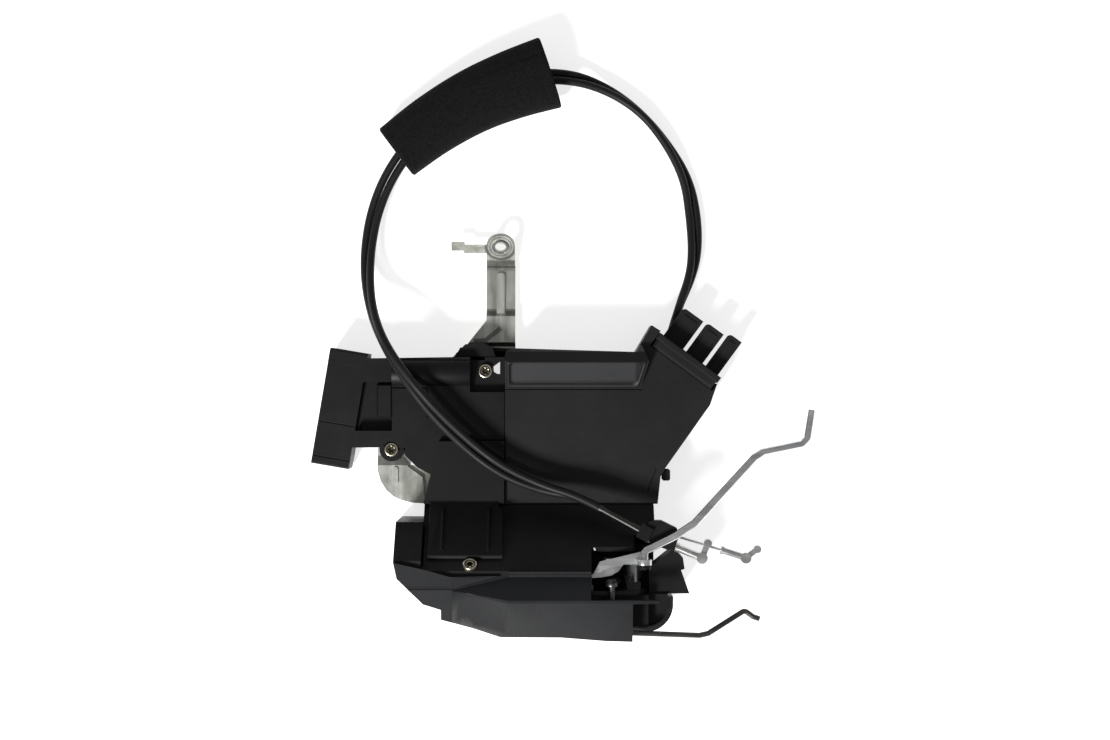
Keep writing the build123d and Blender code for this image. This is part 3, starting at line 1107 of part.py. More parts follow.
CLIP_Z = (49.6, 57.2)
BORE_L = 16.0
WIRE_A_DIR = Vector(0.921, -0.389, 0).normalized()
WIRE_B_DIR = Vector(0.953, -0.302, 0).normalized()


def cable_clip():
    """Moulded end clip that holds both ferrules and guides the wires."""
    end = Vector(*FERRULE_START) + FERRULE_DIR * (FERRULE_L + 0.05)
    face = Plane(origin=end, x_dir=FERRULE_DIR.cross(Vector(0, 0, 1)), z_dir=FERRULE_DIR)
    body = extrude(face * Rectangle(8.0, 8.4), amount=7.0)
    tail = slab([(46.0, -43.6), (53.0, -43.4), (61.6, -47.6), (62.0, -53.6), (60.4, -58.9),
                 (56.6, -59.4), (49.0, -56.6), (45.0, -52.6)], *CLIP_Z)
    body += fillet(tail.edges().filter_by(Axis.Z), 1.0)
    for start, direction in ((HANDLE_WIRE, WIRE_A_DIR), (LOCK_WIRE, WIRE_B_DIR)):
        bore = Plane(origin=start + direction * 2, z_dir=direction) * Circle(WIRE_R + 0.1)
        body -= extrude(bore, amount=-BORE_L - 2)
    return body


def wire_end(start, direction, inside, length, tube, arm):
    """Inner wire with its crimped tube, knuckle and hook."""
    frame = Plane(origin=start, z_dir=direction)
    wire = extrude(frame.offset(-inside) * Circle(WIRE_R), amount=inside + length + 0.5)
    body = extrude(frame.offset(length) * Circle(TUBE_R), amount=tube)
    collar = extrude(frame.offset(length) * Circle(TUBE_R + 0.5), amount=1.5)
    end = start + direction * (length + tube)
    reach = Vector(*arm)
    to = end + reach
    knuckle = post(end.X, end.Y, KNUCKLE_R, end.Z - TUBE_R - 0.2, end.Z + TUBE_R + 0.2)
    bar = extrude(Plane(origin=end, z_dir=reach) * Rectangle(3.0, 3.0), amount=reach.length)
    nib = post(to.X, to.Y, 2.1, to.Z - 1.7, to.Z + TUBE_R + 0.8)
    return wire + body + collar + knuckle + bar + nib


TUBE_R = 2.1
KNUCKLE_R = 3.0
HANDLE_WIRE = Vector(59.64, -57.25, 55.9)
LOCK_WIRE = Vector(61.6, -52.2, 51.3)


def foam_sleeve(cuts):
    arc = ThreePointArc((-8.4, 206.3, 14.75), (-54.3, 186.3, 14.75), (-93.6, 161.3, 14.75))
    body = sweep(Plane(origin=arc @ 0, z_dir=arc % 0) * Circle(FOAM_D / 2), path=arc)
    for tube in cuts:
        body -= tube
    return body


def build():
    write("back_housing", back_housing())
    write("main_cover", main_cover())
    write("connector_housing", connector_housing())
    write("connector_terminals", *connector_terminals())
    write("linkage_cover", linkage_cover())
    write("cable_outlet_cap", cable_outlet_cap())
    write("motor", motor())
    write("motor_worm", motor_worm())
    write("worm_wheel", worm_wheel())
    write("lever_pivots", *pivots())
    write("lock_lever", lock_lever())
    write("inside_lever", inside_lever())
    write("contact_plate", contact_plate())
    write("position_switches", *position_switch())
    write("mount_bracket", mount_bracket())
    write("screws", *screws())
    write("face_plate", face_plate())
    write("latch_casing", latch_casing())
    write("bump_stop", bump_stop())
    write("back_plate", back_plate())
    write("claw_pin", shouldered_pin(CLAW_X, CLAW_Z, PIN_R))
    tail = FIT + KEY_HUB + KEY_LEVER_T + FIT
    write("pawl_pin", shouldered_pin(PAWL_X, PAWL_Z, PAWL_PIN_R, tail))
    write("claw", claw())
    write("pawl", pawl())
    write("claw_spring", coil(CLAW_X, CLAW_Z, 7.2, 1.4, 3, casing_y(POCKET_DEPTH + 0.9), (2, 2)))
    write("pawl_spring", coil(PAWL_X, PAWL_Z, 5.6, 1.0, 3, casing_y(POCKET_DEPTH + 0.6), (1, 1)))
    write("water_shield", water_shield())
    write("leg_housing", leg_housing())
    write("outside_lever", outside_lever())
    write("outside_lever_pin", outside_lever_pin())
    write("outside_rod", outside_rod())
    write("outside_rod_clip", outside_rod_clip())
    write("key_lever", key_lever())
    write("key_rod", key_rod())
    write("key_rod_clip", key_rod_clip())
    cuts = []
    for side, name in ((1, "handle_cable"), (-1, "lock_cable")):
        points = cable_points(side)
        tube, length = tube_along(points, CABLE_D)
        radii = [round(r) for r in bend_radii(points)]
        print(name, "length", round(length, 1), "radii", radii)
        print(name, "volume", round(tube.volume), "expected",
              round(3.14159265 * CABLE_D ** 2 / 4 * length))
        write(name, tube)
        cuts.append(tube_along(points, CABLE_D + 0.3)[0])
    write("foam_sleeve", foam_sleeve(cuts))
    write("cable_ferrules", *cable_ferrules())
    write("cable_clip", cable_clip())
    write("handle_wire_end", wire_end(
        HANDLE_WIRE, WIRE_A_DIR, 15.0, 1.5, 15.3, (3.2, 8.1, 0)))
    write("lock_wire_end", wire_end(
        LOCK_WIRE, WIRE_B_DIR, 8.5, 25.3, 14.3, (6.2, 4.9, 0)))


build()
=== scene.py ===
from math import cos, radians, sin

import bpy
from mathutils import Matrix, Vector


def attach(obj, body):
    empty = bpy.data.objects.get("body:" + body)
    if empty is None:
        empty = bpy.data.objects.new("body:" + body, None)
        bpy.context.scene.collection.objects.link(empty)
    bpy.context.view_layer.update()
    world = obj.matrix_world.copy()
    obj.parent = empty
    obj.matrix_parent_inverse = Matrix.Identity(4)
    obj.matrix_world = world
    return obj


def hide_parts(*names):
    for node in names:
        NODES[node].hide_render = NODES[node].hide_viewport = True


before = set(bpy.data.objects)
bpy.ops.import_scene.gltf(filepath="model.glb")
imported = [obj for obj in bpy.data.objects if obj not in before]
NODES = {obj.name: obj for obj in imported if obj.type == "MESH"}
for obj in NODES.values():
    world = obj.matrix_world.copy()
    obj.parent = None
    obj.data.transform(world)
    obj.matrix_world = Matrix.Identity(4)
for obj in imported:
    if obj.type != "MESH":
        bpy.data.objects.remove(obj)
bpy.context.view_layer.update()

# The drawing's origin, as in the part's source: drawing millimetres become metres here.
DATUM_X = -0.70
DATUM_Y = 3.69
UP = Vector((0, 0, 1))


def at(x, y, z):
    """Drawing millimetres to a point of the frame, in metres."""
    return Vector(((x - DATUM_X) / 1000, (y - DATUM_Y) / 1000, z / 1000))


def add_object(name, data):
    """Object in the scene from its mesh, curve, lamp or camera data."""
    obj = bpy.data.objects.new(name, data)
    bpy.context.scene.collection.objects.link(obj)
    return obj


def ring_mesh(name, rings):
    """Open skin over a row of rings that all have the same number of points."""
    sides = len(rings[0])
    faces = []
    for ring in range(len(rings) - 1):
        for side in range(sides):
            a = ring * sides + side
            b = ring * sides + (side + 1) % sides
            faces.append((a, b, b + sides, a + sides))
    mesh = bpy.data.meshes.new(name)
    mesh.from_pydata([point for ring in rings for point in ring], [], faces)
    return mesh


def smooth_shade(mesh):
    for face in mesh.polygons:
        face.use_smooth = True


# ---------------------------------------------------------------- camera
EYE_X = -4.7
EYE_Y = 38.3
EYE_HEIGHT = 1200.0
LENS = 68.3
SENSOR_WIDTH = 36.0
VIEW_DEPTH = 20.0


def place_camera():
    camera = add_object("camera", bpy.data.cameras.new("camera"))
    camera.data.lens = LENS
    camera.data.sensor_width = SENSOR_WIDTH
    camera.data.clip_end = VIEW_DEPTH
    camera.location = at(EYE_X, EYE_Y, EYE_HEIGHT)
    bpy.context.scene.camera = camera


place_camera()

# ---------------------------------------------------------------- cables
# Middle line of the cable pair: x, y, z, then each cable's offset across and up.
ROUTE = (
    (72.2, 91.0, 8.2, 0.9, 2.3),
    (74.8, 106.0, 6.2, 1.9, 1.6),
    (73.9, 125.5, 5.0, 2.35, 0.9),
    (70.2, 146.0, 4.9, 1.6, 1.9),
    (60.0, 165.0, 5.1, 0.7, 2.4),
    (46.0, 182.6, 5.2, 0.2, 2.5),
    (28.5, 195.6, 6.4, 1.0, 2.3),
    (8.0, 203.4, 10.6, 2.1, 1.3),
    (-16.0, 204.0, 14.2, 2.4, 0.6),
    (-40.0, 194.5, 14.8, 2.45, 0.0),
    (-64.0, 181.3, 14.8, 2.45, 0.0),
    (-86.0, 165.2, 13.9, 2.45, 0.2),
    (-98.6, 147.6, 11.2, 2.45, 0.4),
    (-106.6, 128.6, 8.6, 2.3, 0.9),
    (-110.4, 109.0, 8.4, 2.1, 1.3),
    (-110.7, 90.0, 12.6, 1.7, 1.8),
    (-107.4, 71.5, 22.0, 1.0, 2.3),
    (-100.2, 54.4, 35.0, 0.7, 2.4),
    (-88.4, 36.0, 43.0, 1.2, 2.2),
    (-69.4, 12.4, 41.6, 2.0, 1.5),
    (-40.0, -14.2, 41.2, 2.35, 0.9),
    (-13.0, -26.6, 41.4, 1.7, 1.8),
)
GLAND_TURN = radians(15.0)
GLAND_DIR = Vector((sin(GLAND_TURN), cos(GLAND_TURN), 0.0))
GLAND_ROOT = Vector((59.469, 53.849, 10.5))
GLAND_L = 4.0
FERRULE_START = Vector((20.3, -37.4, 48.0))
FERRULE_DIR = Vector((0.8575, -0.4604, 0.2315)).normalized()
END_RUN = 14.0
CABLE_GAP = 2.5
CABLE_D = 4.5
CABLE_ORDER = 3
CABLE_STEPS = 14
CABLE_ROUNDING = 6

# Name of the node, side of the pair and length of the jacket in metres.
HANDLE_CABLE = ("handle_cable", 1, 0.5585)
LOCK_CABLE = ("lock_cable", -1, 0.5757)
HANDLE_CABLE_NODES = ("cable_ferrules", "cable_clip", "handle_wire_end")


def cable_points(side):
    """Route of one cable in drawing millimetres, from the outlet to its ferrule."""
    start = GLAND_ROOT + UP * (side * CABLE_GAP) + GLAND_DIR * GLAND_L
    level = UP.cross(FERRULE_DIR).normalized()
    end = FERRULE_START + FERRULE_DIR.cross(level) * (side * CABLE_GAP)
    points = [start, start + GLAND_DIR * END_RUN]
    for i, (x, y, z, across, up) in enumerate(ROUTE):
        before = Vector(ROUTE[max(i - 1, 0)][:3])
        after = Vector(ROUTE[min(i + 1, len(ROUTE) - 1)][:3])
        ahead = (after - before).normalized()
        left = UP.cross(ahead).normalized()
        points.append(Vector((x, y, z)) + left * (side * across) + ahead.cross(left) * (side * up))
    points += [end - FERRULE_DIR * END_RUN, end]
    return points


def cable(name, side):
    """Round jacket; each point carries the jacket's radius, which the unit bevel takes up."""
    curve = bpy.data.curves.new(name, "CURVE")
    curve.dimensions = "3D"
    curve.bevel_depth = 1.0
    curve.bevel_resolution = CABLE_ROUNDING
    curve.resolution_u = CABLE_STEPS
    curve.use_fill_caps = True
    spline = curve.splines.new("NURBS")
    points = [at(*p) for p in cable_points(side)]
    spline.points.add(len(points) - 1)
    for target, p in zip(spline.points, points):
        target.co = (*p, 1.0)
        target.radius = CABLE_D / 2000
    spline.order_u = CABLE_ORDER
    spline.use_endpoint_u = True
    return add_object(name, curve), points[0]


# ---------------------------------------------------------------- foam sleeve
# Middle line on the floor plane: x, y and the half width there, drawing millimetres.
WRAP_LINE = (
    (-94.2, 160.6, 16.2),
    (-74.2, 175.6, 17.0),
    (-52.2, 188.8, 18.0),
    (-30.0, 198.4, 19.2),
    (-7.4, 205.8, 20.6),
)
WRAP_HALF_HEIGHT = 14.6
WRAP_Z = 14.75
WRAP_FULLNESS = 0.84
WRAP_STEPS = 56
WRAP_SIDES = 96
WRAP_MOUTH = (7.4, 5.4)
WRAP_MOUTH_DEPTH = 9.0
WRAP_MOUTH_LIP = 0.6
WRAP_EDGE = 1.6
WRAP_ROUND = 0.5
WRAP_START_PULL = 0.4
WRAP_END_PULL = 0.2
SLIT_TURN = radians(62.0)
SLIT_DEPTH = 2.2
SLIT_WIDTH = 0.05
SLIT_START = 0.52


def wrap_frame(share):
    """Centre, direction and half width of the sleeve at a share of its length."""
    spans = len(WRAP_LINE) - 1
    i = min(int(share * spans), spans - 1)
    t = share * spans - i
    before, a, b, after = (Vector(WRAP_LINE[max(0, min(spans, k))]) for k in (i - 1, i, i + 1, i + 2))
    square = 2 * before - 5 * a + 4 * b - after
    cube = 3 * a - before - 3 * b + after
    point = 0.5 * ((2 * a) + (b - before) * t + square * t * t + cube * t ** 3)
    slope = (b - before) * (1 - t) + (after - a) * t
    ahead = Vector((slope.x, slope.y, 0)).normalized()
    return Vector((point.x, point.y, WRAP_Z)), ahead, point.z


def flattened_round(turn, half_width, half_height):
    """Point of a flattened round section."""
    c, s = cos(turn), sin(turn)
    return (half_width * abs(c) ** WRAP_FULLNESS * (1 if c > 0 else -1),
            half_height * abs(s) ** WRAP_FULLNESS * (1 if s > 0 else -1))


def wrap_ring(share, inward=0.0, mouth=False, pull=0.0):
    """One ring of the sleeve; pull moves it along the line."""
    centre, ahead, half = wrap_frame(share)
    across = UP.cross(ahead)
    size = WRAP_MOUTH if mouth else (half - inward, WRAP_HALF_HEIGHT - inward)
    slit_share = max(0.0, (share - SLIT_START) / (1 - SLIT_START)) ** 0.5
    ring = []
    for k in range(WRAP_SIDES):
        turn = radians(360 * k / WRAP_SIDES)
        u, v = flattened_round(turn, *size)
        away = abs(turn - SLIT_TURN) / SLIT_WIDTH
        if not mouth and away < 1:
            cut = 1 - SLIT_DEPTH / half * (1 - away) * slit_share
            u, v = u * cut, v * cut
        ring.append(at(*(centre + ahead * pull + across * u + UP * v)))
    return ring


def foam_wrap():
    """Foam sleeve round both cables: flattened, wider towards one end, open at both mouths."""
    rings = [
        wrap_ring(0, mouth=True, pull=WRAP_MOUTH_DEPTH),
        wrap_ring(0, mouth=True, pull=WRAP_MOUTH_LIP),
        wrap_ring(0, WRAP_EDGE),
        wrap_ring(0, WRAP_ROUND, pull=WRAP_START_PULL),
    ]
    rings += [wrap_ring(k / WRAP_STEPS) for k in range(1, WRAP_STEPS)]
    rings += [
        wrap_ring(1, WRAP_ROUND),
        wrap_ring(1, WRAP_EDGE, pull=WRAP_END_PULL),
        wrap_ring(1, mouth=True, pull=-WRAP_MOUTH_LIP),
        wrap_ring(1, mouth=True, pull=-WRAP_MOUTH_DEPTH),
    ]
    mesh = ring_mesh("foam_wrap", rings)
    smooth_shade(mesh)
    return add_object("foam_wrap", mesh)


wrap = foam_wrap()
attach(wrap, "latch")
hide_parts("foam_sleeve")

CABLES = {}
for (cable_name, cable_side, cable_length), carried in (
    (HANDLE_CABLE, [wrap] + [NODES[n] for n in HANDLE_CABLE_NODES]),
    (LOCK_CABLE, [NODES["lock_wire_end"]]),
):
    jacket, cable_exit = cable(cable_name + "_jacket", cable_side)
    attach(jacket, "latch")
    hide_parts(cable_name)
    CABLES[cable_name] = jacket


# ---------------------------------------------------------------- node helpers
def link(tree, a, b):
    tree.links.new(a, b)


def feed(tree, socket, value):
    """Sets a socket to a number or links it to another socket."""
    if isinstance(value, (int, float)):
        socket.default_value = value
    else:
        link(tree, value, socket)


def math_node(tree, operation, a, b=None):
    node = tree.nodes.new("ShaderNodeMath")
    node.operation = operation
    feed(tree, node.inputs[0], a)
    if b is not None:
        feed(tree, node.inputs[1], b)
    return node.outputs[0]


def surface_point(tree):
    return tree.nodes.new("ShaderNodeTexCoord").outputs["Object"]


def surface_axes(tree):
    """X, Y and Z of the point on the piece, in metres."""
    split = tree.nodes.new("ShaderNodeSeparateXYZ")
    link(tree, surface_point(tree), split.inputs["Vector"])
    return [split.outputs[axis] for axis in "XYZ"]


def noise(tree, scale, detail, roughness, vector=None):
    node = tree.nodes.new("ShaderNodeTexNoise")
    node.inputs["Detail"].default_value = detail
    node.inputs["Roughness"].default_value = roughness
    feed(tree, node.inputs["Scale"], scale)
    link(tree, vector or surface_point(tree), node.inputs["Vector"])
    return node.outputs["Fac"]


def ramp_between(tree, factor, low, high, to_low=0.0, to_high=1.0):
    node = tree.nodes.new("ShaderNodeMapRange")
    node.inputs["From Min"].default_value = low
    node.inputs["From Max"].default_value = high
    node.inputs["To Min"].default_value = to_low
    node.inputs["To Max"].default_value = to_high
    link(tree, factor, node.inputs["Value"])
    return node.outputs["Result"]


def band(tree, value, low, high, edge):
    """1 where the value lies between low and high, with soft edges."""
    rise = ramp_between(tree, value, low - edge, low + edge)
    fall = ramp_between(tree, value, high - edge, high + edge, 1.0, 0.0)
    return math_node(tree, "MULTIPLY", rise, fall)


def colour_mix(tree, factor, a, b):
    """Mix of two colours, each three numbers or a socket."""
    node = tree.nodes.new("ShaderNodeMix")
    node.data_type = "RGBA"
    link(tree, factor, node.inputs[0])
    sockets = [s for s in node.inputs if s.type == "RGBA"]
    for socket, value in zip(sockets, (a, b)):
        if isinstance(value, tuple):
            socket.default_value = (*value, 1.0)
        else:
            link(tree, value, socket)
    return next(o for o in node.outputs if o.type == "RGBA")


def bump(tree, height, strength, distance):
    node = tree.nodes.new("ShaderNodeBump")
    node.inputs["Strength"].default_value = strength
    node.inputs["Distance"].default_value = distance
    link(tree, height, node.inputs["Height"])
    return node.outputs["Normal"]


# ---------------------------------------------------------------- node groups
# Scales are in cells to the metre; a span is the part of a noise that becomes 0 to 1.
SPECK_SCALE = 900.0
SPECK_SHARE = 0.5
TONE_SPAN = (0.3, 0.7)
PATCH_SCALE = 60.0
PATCH_SPAN = (0.35, 0.7)
STREAK_STRETCH = (0.25, 1.6, 1.0)
STREAK_TURN = 0.6
STREAK_SPAN = (0.52, 0.75)
DUST_SLOPE = (0.5, 1.0)
DUST_SPAN = (0.6, 0.8)
STAIN_SCALE = 150.0
STAIN_SPAN = (0.35, 0.65)
SHEEN_SCALE = 120.0
SHEEN_SPAN = (0.3, 0.75)


def new_group(name, inputs, outputs):
    group = bpy.data.node_groups.new(name, "ShaderNodeTree")
    for label, kind, value in inputs:
        socket = group.interface.new_socket(label, in_out="INPUT", socket_type=kind)
        socket.default_value = value
    for label in outputs:
        group.interface.new_socket(label, in_out="OUTPUT", socket_type="NodeSocketFloat")
    start = group.nodes.new("NodeGroupInput")
    end = group.nodes.new("NodeGroupOutput")
    return group, start, end


def mould_grain_group():
    """Spark-eroded mould grain: fine height, slow tone drift, roughness drift."""
    group, start, end = new_group(
        "mould_grain",
        [("Grain Scale", "NodeSocketFloat", 1500.0), ("Drift Scale", "NodeSocketFloat", 22.0)],
        ["Height", "Tone", "Gloss"],
    )
    fine = noise(group, start.outputs["Grain Scale"], detail=3.0, roughness=0.6)
    slow = noise(group, start.outputs["Drift Scale"], detail=2.0, roughness=0.5)
    specks = noise(group, SPECK_SCALE, detail=2.0, roughness=0.5)
    height = math_node(group, "ADD", fine, math_node(group, "MULTIPLY", specks, SPECK_SHARE))
    link(group, height, end.inputs["Height"])
    link(group, ramp_between(group, slow, *TONE_SPAN), end.inputs["Tone"])
    patches = noise(group, PATCH_SCALE, detail=4.0, roughness=0.65)
    link(group, ramp_between(group, patches, *PATCH_SPAN), end.inputs["Gloss"])
    return group


def handling_group():
    """Dust that settles on upward faces and faint rubbed streaks."""
    group, start, end = new_group(
        "handling_marks",
        [("Streak Scale", "NodeSocketFloat", 160.0), ("Dust Scale", "NodeSocketFloat", 240.0)],
        ["Streaks", "Dust"],
    )
    stretch = group.nodes.new("ShaderNodeMapping")
    stretch.inputs["Scale"].default_value = STREAK_STRETCH
    stretch.inputs["Rotation"].default_value = (0, 0, STREAK_TURN)
    link(group, surface_point(group), stretch.inputs["Vector"])
    streak = noise(group, start.outputs["Streak Scale"], detail=4.0, roughness=0.7,
                   vector=stretch.outputs["Vector"])
    link(group, ramp_between(group, streak, *STREAK_SPAN), end.inputs["Streaks"])
    geometry = group.nodes.new("ShaderNodeNewGeometry")
    split = group.nodes.new("ShaderNodeSeparateXYZ")
    link(group, geometry.outputs["Normal"], split.inputs["Vector"])
    facing_up = ramp_between(group, split.outputs["Z"], *DUST_SLOPE)
    dust = noise(group, start.outputs["Dust Scale"], detail=6.0, roughness=0.7)
    specks = ramp_between(group, dust, *DUST_SPAN)
    link(group, math_node(group, "MULTIPLY", facing_up, specks), end.inputs["Dust"])
    return group


def drawn_metal_group():
    """Drawn metal: fine scratches along one direction and slow staining."""
    group, start, end = new_group(
        "drawn_metal",
        [("Scratch Scale", "NodeSocketFloat", 500.0), ("Stretch", "NodeSocketVector", (0.12, 1, 1))],
        ["Height", "Stain", "Gloss"],
    )
    stretch = group.nodes.new("ShaderNodeMapping")
    link(group, surface_point(group), stretch.inputs["Vector"])
    link(group, start.outputs["Stretch"], stretch.inputs["Scale"])
    along = stretch.outputs["Vector"]
    scratch = noise(group, start.outputs["Scratch Scale"], detail=5.0, roughness=0.7, vector=along)
    link(group, scratch, end.inputs["Height"])
    stain = noise(group, STAIN_SCALE, detail=4.0, roughness=0.6, vector=along)
    link(group, ramp_between(group, stain, *STAIN_SPAN), end.inputs["Stain"])
    sheen = noise(group, SHEEN_SCALE, detail=4.0, roughness=0.6)
    link(group, ramp_between(group, sheen, *SHEEN_SPAN), end.inputs["Gloss"])
    return group


GRAIN = mould_grain_group()
HANDLING = handling_group()
DRAWN = drawn_metal_group()


def place_group(tree, group, **values):
    node = tree.nodes.new("ShaderNodeGroup")
    node.node_tree = group
    for label, value in values.items():
        node.inputs[label.replace("_", " ")].default_value = value
    return node


# ---------------------------------------------------------------- finishes
RUBBED_GLOSS = -0.05
DUST_TONE = (0.045, 0.045, 0.044)
GRAIN_STRENGTH = 0.6
SCRATCH_STRENGTH = 0.35
SCRATCH_DEPTH = 0.00002


def start_material(name):
    material = bpy.data.materials.new(name)
    material.use_nodes = True
    tree = material.node_tree
    return material, tree, tree.nodes["Principled BSDF"]


def moulded(name, dark, light, rough, spread, grain=1500.0, depth=0.00004, specular=0.2, dust=0.12):
    """Moulded plastic: grain, tone drift, streaks and a little dust."""
    material, tree, shader = start_material(name)
    grain_node = place_group(tree, GRAIN, Grain_Scale=grain)
    marks = place_group(tree, HANDLING)
    base = colour_mix(tree, grain_node.outputs["Tone"], dark, light)
    dusty = math_node(tree, "MULTIPLY", marks.outputs["Dust"], dust)
    link(tree, colour_mix(tree, dusty, base, DUST_TONE), shader.inputs["Base Color"])
    gloss = ramp_between(tree, grain_node.outputs["Gloss"], 0.0, 1.0, rough - spread, rough + spread)
    rubbed = math_node(tree, "MULTIPLY", marks.outputs["Streaks"], RUBBED_GLOSS)
    link(tree, math_node(tree, "ADD", gloss, rubbed), shader.inputs["Roughness"])
    link(tree, bump(tree, grain_node.outputs["Height"], GRAIN_STRENGTH, depth), shader.inputs["Normal"])
    shader.inputs["Specular IOR Level"].default_value = specular
    return material


def metal(name, clean, stained, rough, spread, scratch=500.0, metallic=1.0, stretch=(0.12, 1.0, 1.0)):
    """Drawn or stamped metal: scratches, staining and gloss drift."""
    material, tree, shader = start_material(name)
    drawn = place_group(tree, DRAWN, Scratch_Scale=scratch, Stretch=stretch)
    link(tree, colour_mix(tree, drawn.outputs["Stain"], clean, stained), shader.inputs["Base Color"])
    gloss = ramp_between(tree, drawn.outputs["Gloss"], 0.0, 1.0, rough - spread, rough + spread)
    link(tree, gloss, shader.inputs["Roughness"])
    scratches = bump(tree, drawn.outputs["Height"], SCRATCH_STRENGTH, SCRATCH_DEPTH)
    link(tree, scratches, shader.inputs["Normal"])
    shader.inputs["Metallic"].default_value = metallic
    return material


def tint(material, amount, tone):
    """Lays a tone over the material's base colour, as far as the amount says."""
    tree = material.node_tree
    colour = tree.nodes["Principled BSDF"].inputs["Base Color"]
    link(tree, colour_mix(tree, amount, colour.links[0].from_socket, tone), colour)


# Painted shade on the bracket at the fold, beside the bead and on the curl, in metres of the frame:
# spans along, across and up.
FOLD_SHADE_SPAN = (0.0925, 0.0968)
FOOT_SHADE_SPAN = (0.0652, 0.0692)
BEAD_SPAN = (-0.0372, -0.032)
CURL_ALONG = (0.049, 0.06)
CURL_HEIGHT = (0.0094, 0.0106)
SHADE_EDGE = 0.0004
THIN_SHADE_EDGE = 0.0002
PAINTED_SHADE_AMOUNT = 0.75
PAINTED_SHADE_TONE = (0.09, 0.09, 0.08)
# Painted shade in rings round the eye, in place of pressed rings: centre, lean of the eye and each
# ring's inner and outer radius.
EYE_AT = (-0.0347, 0.1041)
EYE_STRETCH = 1.22
EYE_SHADE_RINGS = ((0.003, 0.0048), (0.0058, 0.0063), (0.0074, 0.009))


def eye_reach(tree, across, along):
    """Distance from the middle of the tilted eye."""
    dx = math_node(tree, "SUBTRACT", across, EYE_AT[0])
    dy = math_node(tree, "MULTIPLY", math_node(tree, "SUBTRACT", along, EYE_AT[1]), EYE_STRETCH)
    dx_square = math_node(tree, "MULTIPLY", dx, dx)
    dy_square = math_node(tree, "MULTIPLY", dy, dy)
    return math_node(tree, "SQRT", math_node(tree, "ADD", dx_square, dy_square))


def paint_press_shade(material):
    """Painted shade at the fold, beside the bead, on the curl and in rings round the eye."""
    tree = material.node_tree
    across, along, height = surface_axes(tree)
    foot = band(tree, along, *FOOT_SHADE_SPAN, SHADE_EDGE)
    bead = band(tree, across, *BEAD_SPAN, SHADE_EDGE)
    curl_along = band(tree, along, *CURL_ALONG, SHADE_EDGE)
    curl_height = band(tree, height, *CURL_HEIGHT, THIN_SHADE_EDGE)
    reach = eye_reach(tree, across, along)
    marks = band(tree, along, *FOLD_SHADE_SPAN, SHADE_EDGE)
    others = [
        math_node(tree, "MULTIPLY", foot, math_node(tree, "SUBTRACT", 1.0, bead)),
        math_node(tree, "MULTIPLY", curl_along, curl_height),
    ]
    others += [band(tree, reach, *ring, THIN_SHADE_EDGE) for ring in EYE_SHADE_RINGS]
    for other in others:
        marks = math_node(tree, "MAXIMUM", marks, other)
    tint(material, math_node(tree, "MULTIPLY", marks, PAINTED_SHADE_AMOUNT), PAINTED_SHADE_TONE)


# Face of the ridge, in metres of the frame, and the painted light that makes it lighter than the cover
# round it.
FACE_ACROSS = (-0.0277, 0.0405)
FACE_ALONG = (0.0285, 0.0386)
FACE_HEIGHT = (0.0285, 0.0295)
FACE_EDGE = 0.0006
RIDGE_FACE_LIGHT_TONE = (0.026, 0.0265, 0.028)


def paint_ridge_face_light(material):
    """Painted light on the face of the ridge, inside its rim and only on the outside of the cover."""
    tree = material.node_tree
    across, along, height = surface_axes(tree)
    inside = math_node(tree, "MULTIPLY", band(tree, across, *FACE_ACROSS, FACE_EDGE),
                       band(tree, along, *FACE_ALONG, FACE_EDGE))
    outside = ramp_between(tree, height, *FACE_HEIGHT)
    tint(material, math_node(tree, "MULTIPLY", inside, outside), RIDGE_FACE_LIGHT_TONE)


HOUSING_PLASTIC = moulded(
    "housing_plastic", dark=(0.0052, 0.0052, 0.0058), light=(0.0078, 0.0078, 0.0084),
    rough=0.48, spread=0.06)
COVER_PLASTIC = moulded(
    "cover_plastic", dark=(0.0082, 0.0084, 0.0092), light=(0.0112, 0.0114, 0.0122),
    rough=0.5, spread=0.05, grain=1100.0, specular=0.26)
# Painted light on the ridge's face.
paint_ridge_face_light(COVER_PLASTIC)
PANEL_PLASTIC = moulded(
    "panel_plastic", dark=(0.0052, 0.0053, 0.0058), light=(0.0074, 0.0075, 0.008),
    rough=0.56, spread=0.05, grain=1300.0, specular=0.16)
SHIELD_PLASTIC = moulded(
    "shield_plastic", dark=(0.0095, 0.01, 0.0112), light=(0.0128, 0.0133, 0.0146),
    rough=0.46, spread=0.05, grain=900.0, specular=0.26)
OUTLET_PLASTIC = moulded(
    "outlet_plastic", dark=(0.0095, 0.0095, 0.01), light=(0.0135, 0.0135, 0.014),
    rough=0.6, spread=0.05, grain=800.0)
CLIP_PLASTIC = moulded(
    "clip_plastic", dark=(0.006, 0.006, 0.006), light=(0.01, 0.01, 0.01), rough=0.42, spread=0.08)
LEVER_PLASTIC = moulded(
    "lever_plastic", dark=(0.05, 0.05, 0.05), light=(0.07, 0.07, 0.07), rough=0.5, spread=0.08)
GEAR_PLASTIC = moulded(
    "gear_plastic", dark=(0.6, 0.58, 0.5), light=(0.66, 0.64, 0.56),
    rough=0.38, spread=0.06, dust=0.0)
RUBBER = moulded(
    "stop_rubber", dark=(0.008, 0.008, 0.008), light=(0.014, 0.014, 0.014),
    rough=0.75, spread=0.05, grain=700.0)
JACKET = moulded(
    "cable_jacket", dark=(0.007, 0.007, 0.0075), light=(0.011, 0.011, 0.0115),
    rough=0.52, spread=0.05, grain=500.0, depth=0.00002, specular=0.22, dust=0.1)

